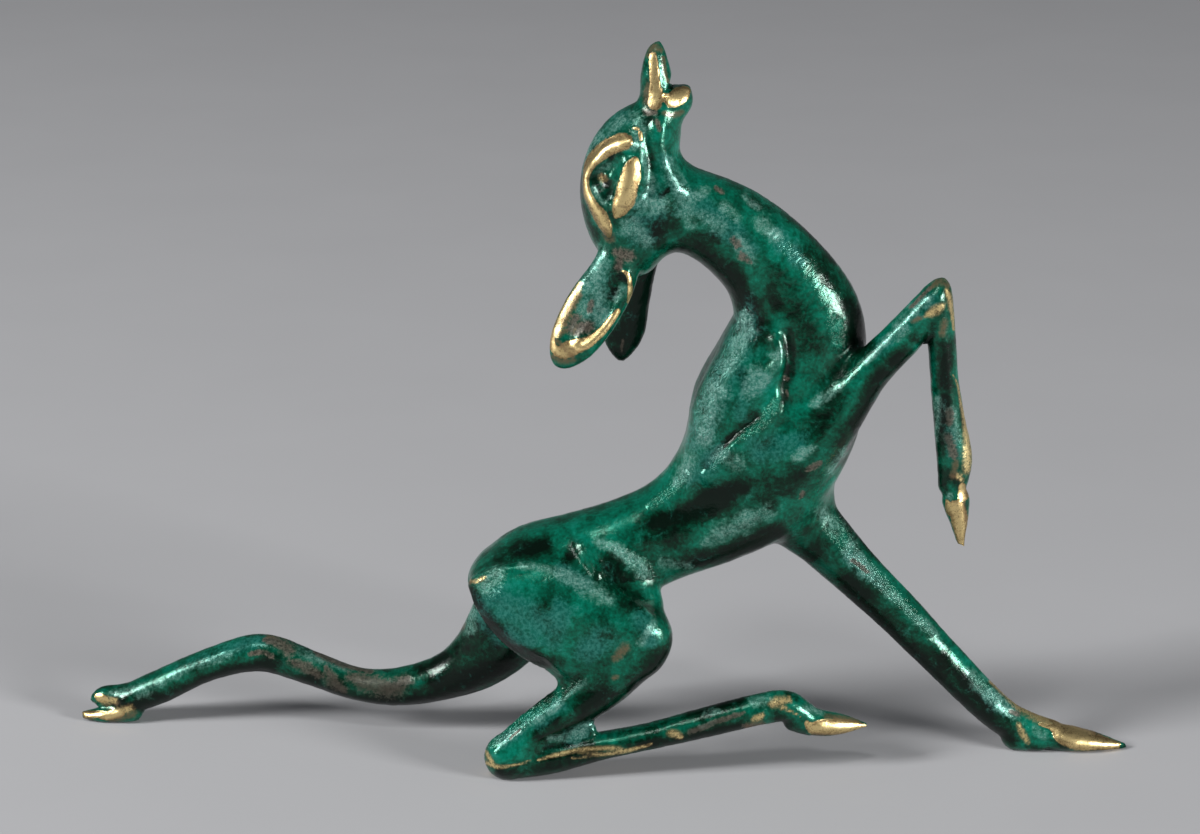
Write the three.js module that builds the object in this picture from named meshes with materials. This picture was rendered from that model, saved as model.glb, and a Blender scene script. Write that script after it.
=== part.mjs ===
// A small solid bronze fawn: kneeling on one hind leg, the other hind leg stretched back,
// one foreleg planted and one raised, the head thrown right back.
// Millimetres. X runs from the stretched hind hoof to the planted fore hoof, Y runs from
// the kneeling side to the stretched side, Z is up and the feet rest on Z = 0.
import * as THREE from 'three';

// How finely the form is worked out
const GRID_STEP = 0.62;
const CURVE_STEPS = 6;
const TRIANGLE_LIMIT = 9600;
const REACH = 7;

// Carving depths and heights
const EYE_DEPTH = 0.7;
const PUPIL_HEIGHT = 0.6;
const BROW_HEIGHT = 0.5;
const CHEEK_HEIGHT = 0.7;
const JAW_HEIGHT = 0.4;
const BLADE_HEIGHT = 0.5;
const BLADE_CREASE = 0.75;
const ARM_CREASE = 0.6;
const ARM_EDGE = 0.3;
const FLANK_FOLD = 0.5;
const WAIST_HOLLOW = 0.5;

// The bevel along the back edge of the kneeling thigh: a cone about a line across, with a
// plain rim, that runs out toward the front, the far side and the top
const BEVEL_X = -0.3;
const BEVEL_Z = 27.9;
const BEVEL_RADIUS = 15.1;
const BEVEL_AT_Y = -8.0;
const BEVEL_RIM = 15.9;
const BEVEL_TOP = 23.9;
const BEVEL_FRONT = -6.5;
const BEVEL_BACK = -1.5;

// A station along a limb is x, y, z, half depth in the side plane, half width across
const TRUNK = [
  [-11.0, 0, 22.0, 4.6, 4.8], [-7.5, 0, 23.2, 5.6, 6.0], [-2.5, 0, 24.4, 5.8, 5.8],
  [3.3, 0, 26.2, 5.9, 5.2], [8.6, 0, 28.6, 6.0, 5.2], [13.4, 0, 31.5, 7.1, 5.6],
  [18.2, 0, 36.2, 8.9, 6.2], [21.4, 0, 43.0, 9.4, 6.6], [22.6, 0, 49.0, 8.6, 6.0],
  [23.2, 0, 54.4, 7.5, 5.4], [20.4, 0, 60.4, 6.0, 4.9], [15.8, 0, 65.0, 5.3, 4.5],
  [10.3, 0, 67.9, 4.8, 4.3], [6.0, 0, 69.5, 4.3, 4.2],
];
const HEAD = [
  [4.0, 0, 63.0, 3.1, 3.6], [3.8, 0, 66.5, 5.3, 4.8], [3.6, 0, 70.7, 5.9, 5.2],
  [4.2, 0, 74.6, 5.0, 4.6], [6.2, 0, 78.0, 3.2, 3.5], [7.2, 0, 80.2, 2.4, 2.8],
];
const NOSE = [
  [6.7, 0, 80.6, 2.1, 2.4], [6.5, 0, 82.7, 1.9, 2.1], [6.4, 0, 84.4, 1.6, 1.8],
  [6.4, 0, 86.1, 1.1, 1.3], [6.6, 0, 87.3, 0.35, 0.4],
];
const CHIN = [[7.6, 0, 79.6, 2.2, 2.4], [8.9, 0, 80.6, 1.7, 2.1], [9.6, 0, 81.5, 0.95, 1.4]];
const NEAR_EAR = [
  [2.4, -2.6, 63.6, 2.2, 1.6], [1.4, -3.4, 60.6, 2.9, 1.5], [-0.7, -4.2, 57.2, 3.3, 1.5],
  [-2.7, -4.9, 54.0, 2.9, 1.4], [-4.0, -5.3, 52.0, 1.8, 1.1], [-4.6, -5.5, 51.0, 0.5, 0.5],
];
const FAR_EAR = [
  [5.2, 2.4, 63.2, 2.2, 1.5], [4.5, 3.1, 60.0, 2.1, 1.5], [3.2, 3.9, 56.0, 2.7, 1.5],
  [2.8, 4.3, 52.4, 2.6, 1.3], [2.6, 4.5, 50.0, 1.6, 1.0], [2.5, 4.6, 48.2, 0.3, 0.3],
];
const STRETCHED_LEG = [
  [-8.5, 3.2, 20.0, 5.6, 3.8], [-10.8, 4.2, 14.9, 5.2, 3.6], [-14.4, 5.0, 10.2, 4.0, 3.2],
  [-18.8, 5.8, 7.2, 2.9, 2.8], [-24.8, 6.4, 5.5, 2.35, 2.5], [-30.2, 6.9, 5.7, 2.0, 2.3],
  [-35.6, 7.2, 7.6, 2.1, 2.2], [-41.8, 7.6, 9.5, 2.35, 2.2], [-48.4, 8.2, 7.7, 2.0, 2.1],
  [-54.6, 8.7, 4.6, 2.1, 2.1], [-58.6, 9.0, 2.8, 1.9, 2.1],
];
const STRETCHED_TOE = [
  [-58.5, 9.2, 3.0, 1.5, 1.6], [-61.5, 9.4, 3.0, 1.3, 1.3], [-63.0, 9.5, 2.7, 0.6, 0.7],
];
const STRETCHED_HOOF = [
  [-58.5, 8.8, 1.45, 1.6, 1.8], [-62.0, 8.8, 0.8, 0.95, 1.4], [-64.8, 8.8, 0.7, 0.3, 0.5],
];
const PLANTED_LEG = [
  [22.0, 2.4, 33.5, 5.4, 3.6], [24.5, 2.2, 29.0, 4.2, 3.3], [26.8, 1.9, 26.6, 3.6, 3.0],
  [31.2, 1.4, 22.1, 3.05, 2.6], [36.0, 1.0, 17.4, 2.75, 2.3], [42.0, 0.5, 11.1, 2.45, 2.1],
  [48.2, 0.1, 4.9, 2.25, 2.0], [51.6, 0, 2.9, 2.1, 2.0], [55.0, 0, 2.1, 1.6, 1.8],
];
const PLANTED_HEEL = [[50.8, 0, 1.8, 1.9, 1.9], [53.6, -0.1, 0.9, 1.0, 1.7]];
const PLANTED_HOOF = [
  [55.2, 0, 1.6, 1.7, 1.9], [57.6, 0, 1.3, 1.5, 2.2], [60.6, 0, 0.9, 1.05, 1.7],
  [64.1, 0, 0.35, 0.3, 0.45],
];
const THIGH = [
  [-11.2, -4.8, 21.6, 4.7, 4.0], [-7.0, -5.6, 19.8, 6.6, 4.1], [-1.5, -6.4, 18.0, 6.6, 4.0],
  [3.6, -6.9, 17.2, 4.7, 3.4], [5.7, -7.0, 17.6, 2.9, 2.5],
];
const SHANK = [
  [4.2, -7.0, 15.1, 3.0, 2.9], [0.9, -7.2, 11.9, 3.1, 2.9], [-2.2, -7.5, 9.6, 3.0, 2.7],
  [-6.8, -8.0, 6.6, 2.5, 2.5], [-11.0, -8.4, 2.8, 2.6, 2.4],
];
const CANNON = [
  [-11.0, -8.5, 2.4, 2.6, 2.3], [-6.0, -8.2, 2.4, 2.0, 2.1], [0.0, -7.8, 3.7, 1.7, 1.9],
  [5.5, -7.4, 4.7, 1.6, 1.8], [12.0, -6.9, 6.2, 1.8, 1.8], [19.0, -6.3, 7.8, 1.9, 1.9],
  [22.2, -6.0, 8.1, 1.9, 1.9], [24.2, -5.8, 6.9, 1.75, 1.8],
];
const KNEELING_HEEL = [[23.4, -5.8, 6.3, 1.5, 1.5], [25.0, -5.6, 5.2, 0.9, 1.2]];
const KNEELING_HOOF = [
  [24.6, -5.8, 6.3, 1.7, 1.6], [26.6, -5.6, 5.75, 1.6, 1.8], [29.2, -5.2, 5.45, 1.15, 1.4],
  [32.1, -4.9, 5.2, 0.2, 0.35],
];
const RAISED_ARM = [
  [17.5, -3.4, 37.5, 5.6, 3.4], [22.5, -4.2, 39.8, 4.6, 3.4], [26.8, -4.6, 43.1, 3.3, 3.0],
  [31.2, -4.9, 49.5, 2.5, 2.6], [35.5, -5.0, 54.3, 2.3, 2.3], [38.5, -5.0, 58.2, 1.9, 2.0],
];
const RAISED_SHIN = [
  [39.4, -5, 60.3, 0.7, 1.1], [39.1, -5, 59.1, 1.5, 1.8], [39.3, -5, 56.2, 1.7, 1.9],
  [39.75, -5, 52.0, 1.65, 1.85], [40.1, -5, 48.4, 1.65, 1.8], [40.8, -5, 43.7, 1.85, 1.8],
  [41.5, -5.1, 39.5, 2.1, 1.8], [41.5, -5.2, 37.2, 1.9, 1.65], [41.35, -5.3, 36.1, 1.7, 1.5],
];
const RAISED_HOOF = [
  [41.6, -5.3, 35.2, 1.3, 1.35], [41.85, -5.3, 33.9, 1.6, 1.6], [42.25, -5.4, 31.6, 1.1, 1.2],
  [42.45, -5.5, 29.8, 0.7, 0.75], [42.75, -5.5, 27.5, 0.2, 0.2],
];
const NEAR_BLADE = [
  [21.8, -1.4, 57.6, 1.6, 1.2], [20.0, -2.0, 53.2, 2.6, 2.4], [17.6, -2.6, 48.8, 3.7, 3.1],
  [15.6, -2.9, 44.2, 4.6, 3.4], [15.8, -2.8, 39.5, 4.6, 3.4],
];
const FAR_BLADE = [
  [21.8, 1.4, 57.6, 1.6, 1.2], [20.0, 2.0, 53.2, 2.6, 2.4], [17.6, 2.6, 48.8, 3.6, 3.1],
  [15.8, 2.9, 44.2, 4.5, 3.4], [16.0, 2.8, 39.5, 4.5, 3.4],
];
const FLANK_WEB = [[3.0, -3.4, 24.0, 2.4, 1.6], [5.2, -4.6, 20.8, 1.9, 1.8]];
const HOCK_WEB = [[-8.0, -8.2, 4.6, 1.6, 1.6], [-4.2, -8.0, 5.2, 1.3, 1.3], [-1.4, -7.9, 5.8, 1.0, 1.0]];

// Stations, power of the section (2 is an ellipse, less is more ridged), softness of the joint
const LIMBS = [
  [TRUNK, 2.2, 0], [HEAD, 2, 2.4], [NOSE, 2.2, 0.8],
  [NEAR_EAR, 2, 0.9], [FAR_EAR, 2, 0.9], [THIGH, 2.4, 3.2],
  [STRETCHED_LEG, 2, 2.0], [STRETCHED_TOE, 2, 0.5], [STRETCHED_HOOF, 2, 0.5],
  [PLANTED_LEG, 1.7, 3.0],
  [SHANK, 1.55, 1.6], [CANNON, 2, 1.0],
  [RAISED_ARM, 1.7, 1.8],
  [CHIN, 2.2, 0.5],
  [KNEELING_HOOF, 1.8, 0.35], [KNEELING_HEEL, 2, 0.4],
  [PLANTED_HEEL, 2, 0.5], [PLANTED_HOOF, 1.8, 0.35],
  [RAISED_SHIN, 1.7, 0.6], [RAISED_HOOF, 1.6, 0.3],
  [NEAR_BLADE, 2, 3.0], [FAR_BLADE, 2, 3.0],
  [FLANK_WEB, 2, 2.4], [HOCK_WEB, 2, 0.5],
];

// Hollows taken away: the open mouth and the cups of both ears
const HOLLOWS = [
  [[[7.2, 0, 81.2, 0.2, 3.2], [8.6, 0, 83.3, 0.5, 3.2], [10.4, 0, 85.8, 1.2, 3.2]], 2, 0.25],
  [[[2.0, -5.4, 61.8, 1.3, 1.3], [1.3, -5.8, 59.4, 1.9, 1.6], [-0.3, -6.4, 56.8, 2.1, 1.8],
    [-1.9, -6.9, 54.6, 1.6, 1.5], [-2.9, -7.1, 53.6, 0.8, 0.9]], 2, 0.4],
  [[[4.2, 5.6, 60.4, 1.0, 1.4], [3.3, 6.3, 56.2, 1.9, 1.7], [2.8, 6.6, 52.9, 1.7, 1.5],
    [2.6, 6.5, 51.0, 0.7, 0.8]], 2, 0.5],
];

// Lines of carving: half width, height (below zero cuts in), points. The face is the same
// on both sides and is given for the near side.
const BROW = [
  [3.2, -4.5, 76.7], [1.2, -4.1, 76.2], [-0.2, -3.7, 74.9], [-1.2, -3.3, 73.6],
  [-1.7, -3.0, 72.1], [-1.6, -3.5, 70.6], [-0.8, -4.1, 69.2], [0.2, -4.6, 67.9], [0.9, -4.7, 66.6],
];
const CHEEK = [[3.5, -5.0, 74.2], [3.4, -5.3, 72.8], [2.9, -5.4, 71.2], [2.2, -5.3, 69.7]];
const FACE = [
  [0.8, -EYE_DEPTH, [[-0.4, -3.8, 72.6], [0.6, -4.2, 73.0], [1.4, -4.5, 74.2]]],
  [0.8, -EYE_DEPTH, [[0.1, -4.1, 72.0], [1.0, -4.6, 71.6], [1.2, -4.7, 70.6]]],
  [0.6, PUPIL_HEIGHT, [[0.5, -4.0, 72.75], [0.52, -4.0, 72.65]]],
  [0.85, BROW_HEIGHT, BROW],
  [1.25, CHEEK_HEIGHT, CHEEK],
  [1.2, JAW_HEIGHT, [[6.8, -3.5, 78.2], [7.0, -3.8, 76.3], [7.8, -3.8, 74.4], [8.9, -4.1, 71.5]]],
  [0.8, -JAW_HEIGHT, [[5.3, -3.4, 78.5], [5.6, -3.9, 76.2], [5.8, -4.4, 73.6], [5.6, -4.8, 71.0]]],
];
const RELIEF = [
  [0.9, BLADE_HEIGHT, [[20.4, -6.0, 53.6], [20.9, -6.4, 51.6], [20.2, -6.6, 50.2]]],
  [0.7, BLADE_HEIGHT / 2, [[20.6, -6.4, 50.8], [19.1, -6.4, 49.5], [18.0, -6.6, 47.9]]],
  [0.65, -BLADE_CREASE, [[21.6, -5.4, 54.4], [22.0, -5.8, 52.0], [21.9, -6.1, 50.0],
    [21.5, -6.3, 48.2], [21.3, -6.3, 46.2]]],
  [0.6, -ARM_CREASE, [[18.3, -6.6, 44.8], [17.2, -6.6, 43.8], [16.3, -6.6, 42.9], [15.1, -6.6, 41.8],
    [13.8, -6.4, 40.2], [12.2, -5.8, 38.1]]],
  [1.1, BLADE_HEIGHT, [[20.6, -6.3, 46.8], [19.8, -6.4, 45.0], [18.7, -6.8, 43.4], [17.0, -7.0, 42.0],
    [15.2, -7.1, 40.8], [13.8, -7.0, 39.0], [12.6, -6.3, 37.0]]],
  [1.1, ARM_EDGE, [[23.4, -6.6, 44.4], [27.8, -6.7, 48.3], [31.2, -7.0, 52.1], [34.5, -6.9, 55.5],
    [37.9, -6.7, 59.0]]],
  [0.8, FLANK_FOLD, [[-2.0, -5.2, 28.4], [-1.2, -6.0, 27.2], [-0.2, -7.0, 25.6]]],
  [1.6, -WAIST_HOLLOW, [[6.5, -4.5, 31.2], [10.6, -5.2, 32.8], [14.1, -6.5, 35.0], [16.6, -7.2, 37.0]]],
  [1.2, WAIST_HOLLOW / 2, [[10.4, -5.2, 28.4], [15.9, -5.7, 31.0], [19.6, -6.0, 33.0]]],
  [0.7, ARM_EDGE, [[-15.2, -6.0, 23.8], [-13.6, -7.0, 25.0], [-11.6, -7.0, 26.1], [-8.4, -7.2, 26.5]]],
  [0.7, -ARM_EDGE, [[-6.8, -9.8, 5.2], [-4.0, -9.6, 5.4], [-1.4, -9.2, 6.0]]],
  [0.8, -ARM_EDGE, [[-13.9, 4.0, 19.0], [-13.2, 2.2, 16.0], [-12.6, 1.2, 12.6]]],
];

// A smooth curve through every number of the stations
function curve(stations) {
  const last = stations.length - 1;
  const mirror = (a, b) => a.map((v, i) => 2 * v - b[i]);
  const all = [mirror(stations[0], stations[1]), ...stations, mirror(stations[last], stations[last - 1])];
  const out = [];
  for (let i = 1; i <= last; i++) {
    for (let s = 0; s < CURVE_STEPS; s++) {
      const t = s / CURVE_STEPS;
      out.push(all[i].map((p1, j) => {
        const p0 = all[i - 1][j];
        const p2 = all[i + 1][j];
        const p3 = all[i + 2][j];
        return 0.5 * (2 * p1 + (p2 - p0) * t + (2 * p0 - 5 * p1 + 4 * p2 - p3) * t * t
          + (3 * p1 - p0 - 3 * p2 + p3) * t * t * t);
      }));
    }
  }
  out.push([...stations[last]]);
  return out.map((row) => row.map((v, j) => (j > 2 ? Math.max(v, 0.12) : v)));
}

// The straight pieces between neighbouring points, with what each needs worked out once
function pieces(rows) {
  const list = [];
  for (let i = 0; i + 1 < rows.length; i++) {
    const a = rows[i];
    const b = rows[i + 1];
    const axis = [b[0] - a[0], b[1] - a[1], b[2] - a[2]];
    const length2 = axis[0] ** 2 + axis[1] ** 2 + axis[2] ** 2;
    if (length2 < 1e-9) continue;
    const lean = axis[1] / length2;
    const side = [-axis[0] * lean, 1 - axis[1] * lean, -axis[2] * lean];
    const size = Math.hypot(...side);
    list.push({ a, b, axis, length2, side: side.map((v) => v / size) });
  }
  return list;
}

function box(rows, grow) {
  const low = [Infinity, Infinity, Infinity];
  const high = [-Infinity, -Infinity, -Infinity];
  for (const row of rows) {
    const r = grow + (row.length > 3 ? Math.max(row[3], row[4]) : 0);
    for (let k = 0; k < 3; k++) {
      low[k] = Math.min(low[k], row[k] - r);
      high[k] = Math.max(high[k], row[k] + r);
    }
  }
  return { low, high };
}

function away(area, x, y, z) {
  const dx = Math.max(area.low[0] - x, x - area.high[0], 0);
  const dy = Math.max(area.low[1] - y, y - area.high[1], 0);
  const dz = Math.max(area.low[2] - z, z - area.high[2], 0);
  return Math.sqrt(dx * dx + dy * dy + dz * dz);
}

function makeLimb([stations, power, soft]) {
  const rows = curve(stations);
  return { list: pieces(rows), area: box(rows, 0), power, soft };
}

// Distance to one limb, below zero inside
function limbDistance(limb, x, y, z) {
  const far = away(limb.area, x, y, z);
  if (far > REACH) return far + 1;
  let best = 1e3;
  for (const { a, b, axis, length2, side } of limb.list) {
    let qx = x - a[0];
    let qy = y - a[1];
    let qz = z - a[2];
    const t = Math.min(1, Math.max(0, (qx * axis[0] + qy * axis[1] + qz * axis[2]) / length2));
    qx -= t * axis[0];
    qy -= t * axis[1];
    qz -= t * axis[2];
    const r2 = qx * qx + qy * qy + qz * qz;
    const v = qx * side[0] + qy * side[1] + qz * side[2];
    const v2 = v * v;
    const u2 = Math.max(r2 - v2, 0);
    const deep = a[3] + t * (b[3] - a[3]);
    const wide = a[4] + t * (b[4] - a[4]);
    const k = limb.power === 2
      ? Math.sqrt(u2 / (deep * deep) + v2 / (wide * wide))
      : (Math.pow(u2 / (deep * deep), limb.power / 2)
        + Math.pow(v2 / (wide * wide), limb.power / 2)) ** (1 / limb.power);
    const r = Math.sqrt(r2);
    const d = r - r / Math.max(k, 1e-5);
    if (d < best) best = d;
  }
  return best;
}

function join(a, b, k) {
  if (k <= 0) return Math.min(a, b);
  const h = Math.min(1, Math.max(0, 0.5 + 0.5 * (b - a) / k));
  return b + (a - b) * h - k * h * (1 - h);
}

function cut(a, b, k) {
  return -join(-a, b, k);
}

function makeLine([width, height, points]) {
  const rows = points.length > 2 ? curve(points) : points;
  return { list: pieces(rows), area: box(rows, 0), width, height };
}

// How strongly a carved line is felt at a point: its height on the line, nothing far off
function lineHeight(line, x, y, z) {
  if (away(line.area, x, y, z) > 3 * line.width) return 0;
  let best = 1e9;
  for (const { a, axis, length2 } of line.list) {
    const qx = x - a[0];
    const qy = y - a[1];
    const qz = z - a[2];
    const t = Math.min(1, Math.max(0, (qx * axis[0] + qy * axis[1] + qz * axis[2]) / length2));
    const d = (qx - t * axis[0]) ** 2 + (qy - t * axis[1]) ** 2 + (qz - t * axis[2]) ** 2;
    if (d < best) best = d;
  }
  return line.height * Math.exp(-best / (line.width * line.width));
}

const limbs = LIMBS.map(makeLimb);
const thigh = limbs[LIMBS.findIndex((entry) => entry[0] === THIGH)];
const hollows = HOLLOWS.map(makeLimb);
const face = FACE.map(makeLine);
const relief = RELIEF.map(makeLine);

// How far a point lies outside the bevel's cone and rim
function beyondBevel(x, y, z) {
  const front = 0.5 * Math.max(x - BEVEL_FRONT, 0);
  const back = Math.max(y - BEVEL_BACK, 0);
  const top = 2.5 * Math.max(z - BEVEL_TOP, 0);
  const radius = Math.hypot(x - BEVEL_X, z - BEVEL_Z) - front - back - top;
  return Math.max((radius - BEVEL_RADIUS - (y - BEVEL_AT_Y)) * Math.SQRT1_2, radius - BEVEL_RIM);
}

// The whole figure as one distance, below zero in the bronze
function distance(x, y, z) {
  let d = 1e3;
  for (const limb of limbs) {
    d = join(d, limbDistance(limb, x, y, z), limb.soft);
    if (limb === thigh) d = cut(d, -beyondBevel(x, y, z), 0.2);
  }
  for (const hollow of hollows) d = cut(d, limbDistance(hollow, x, y, z), hollow.soft);
  if (d < 4) {
    const near = -Math.abs(y);
    for (const line of face) d -= lineHeight(line, x, near, z);
    for (const line of relief) d -= lineHeight(line, x, y, z);
  }
  return Math.max(d, -z);
}

// Marching over a lattice of tetrahedra, six to a cube, so the surface always closes
function polygonise() {
  const all = limbs.map((limb) => limb.area);
  const low = [0, 1, 2].map((k) => Math.min(...all.map((a) => a.low[k])) - 2 * GRID_STEP);
  const high = [0, 1, 2].map((k) => Math.max(...all.map((a) => a.high[k])) + 2 * GRID_STEP);
  const block = 4;
  const count = [0, 1, 2].map((k) => Math.ceil((high[k] - low[k]) / GRID_STEP / block) * block + 1);
  const at = (i, j, k) => (k * count[1] + j) * count[0] + i;
  const values = new Float64Array(count[0] * count[1] * count[2]).fill(NaN);
  const value = (i, j, k) => {
    const n = at(i, j, k);
    if (Number.isNaN(values[n])) {
      values[n] = distance(low[0] + i * GRID_STEP, low[1] + j * GRID_STEP, low[2] + k * GRID_STEP);
    }
    return values[n];
  };
  const positions = [];
  const triangles = [];
  const made = new Map();
  const crossing = (i, j, k, c0, c1) => {
    const lo = Math.min(c0, c1);
    const way = c0 ^ c1;
    const a = [i + (lo & 1), j + ((lo >> 1) & 1), k + ((lo >> 2) & 1)];
    const b = [a[0] + (way & 1), a[1] + ((way >> 1) & 1), a[2] + ((way >> 2) & 1)];
    const key = at(...a) * 8 + way;
    let index = made.get(key);
    if (index === undefined) {
      const va = value(...a);
      const vb = value(...b);
      const t = va / (va - vb);
      index = positions.length;
      positions.push([0, 1, 2].map((m) => low[m] + (a[m] + t * (b[m] - a[m])) * GRID_STEP));
      made.set(key, index);
    }
    return index;
  };
  const paths = [[0, 1, 3, 7], [0, 5, 1, 7], [0, 3, 2, 7], [0, 2, 6, 7], [0, 4, 5, 7], [0, 6, 4, 7]];
  const even = [[0, 1, 2, 3], [1, 0, 3, 2], [2, 0, 1, 3], [3, 0, 2, 1]];
  const pairs = [[0, 1, 2, 3], [0, 2, 3, 1], [0, 3, 1, 2], [1, 2, 0, 3], [1, 3, 2, 0], [2, 3, 0, 1]];
  const cell = (i, j, k) => {
    const v = [];
    let inside = 0;
    for (let c = 0; c < 8; c++) {
      v.push(value(i + (c & 1), j + ((c >> 1) & 1), k + ((c >> 2) & 1)) < 0);
      inside += v[c] ? 1 : 0;
    }
    if (inside === 0 || inside === 8) return;
    for (const path of paths) {
      const within = path.filter((c) => v[c]).length;
      if (within === 0 || within === 4) continue;
      if (within === 2) {
        for (const [p, q, r, s] of pairs) {
          if (!v[path[p]] || !v[path[q]]) continue;
          const ring = [[p, r], [p, s], [q, s], [q, r]].map(([m, n]) => crossing(i, j, k, path[m], path[n]));
          triangles.push([ring[0], ring[1], ring[2]], [ring[0], ring[2], ring[3]]);
        }
      } else {
        const lone = path.findIndex((c) => v[c] === (within === 1));
        const [p, q, r, s] = even[lone];
        const three = [q, r, s].map((n) => crossing(i, j, k, path[p], path[n]));
        triangles.push(within === 1 ? three : [three[0], three[2], three[1]]);
      }
    }
  };
  const wide = block * GRID_STEP * 1.8;
  for (let k = 0; k + 1 < count[2]; k += block) {
    for (let j = 0; j + 1 < count[1]; j += block) {
      for (let i = 0; i + 1 < count[0]; i += block) {
        if (Math.abs(value(i + block / 2, j + block / 2, k + block / 2)) > wide) continue;
        for (let n = 0; n < block ** 3; n++) {
          cell(i + (n % block), j + (Math.floor(n / block) % block), k + Math.floor(n / block / block));
        }
      }
    }
  }
  return { positions, triangles };
}

// Moves a point along the slope of the distance onto the surface
function settle(p) {
  const e = 0.02;
  for (let step = 0; step < 2; step++) {
    const d = distance(p[0], p[1], p[2]);
    const g = [0, 1, 2].map((k) => {
      const f = [...p];
      const b = [...p];
      f[k] += e;
      b[k] -= e;
      return (distance(...f) - distance(...b)) / (2 * e);
    });
    const g2 = Math.max(g[0] ** 2 + g[1] ** 2 + g[2] ** 2, 0.2);
    const move = Math.max(-0.2, Math.min(0.2, d / Math.sqrt(g2))) / Math.sqrt(g2);
    for (let k = 0; k < 3; k++) p[k] -= g[k] * move;
  }
  if (p[2] < 0.03) p[2] = 0;
}

function planeOf(a, b, c) {
  const n = [
    (b[1] - a[1]) * (c[2] - a[2]) - (b[2] - a[2]) * (c[1] - a[1]),
    (b[2] - a[2]) * (c[0] - a[0]) - (b[0] - a[0]) * (c[2] - a[2]),
    (b[0] - a[0]) * (c[1] - a[1]) - (b[1] - a[1]) * (c[0] - a[0]),
  ];
  const size = Math.hypot(...n);
  if (size < 1e-12) return { n: [0, 0, 0], w: 0, area: 0 };
  const u = n.map((v) => v / size);
  return { n: u, w: -(u[0] * a[0] + u[1] * a[1] + u[2] * a[2]), area: size / 2 };
}

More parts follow.
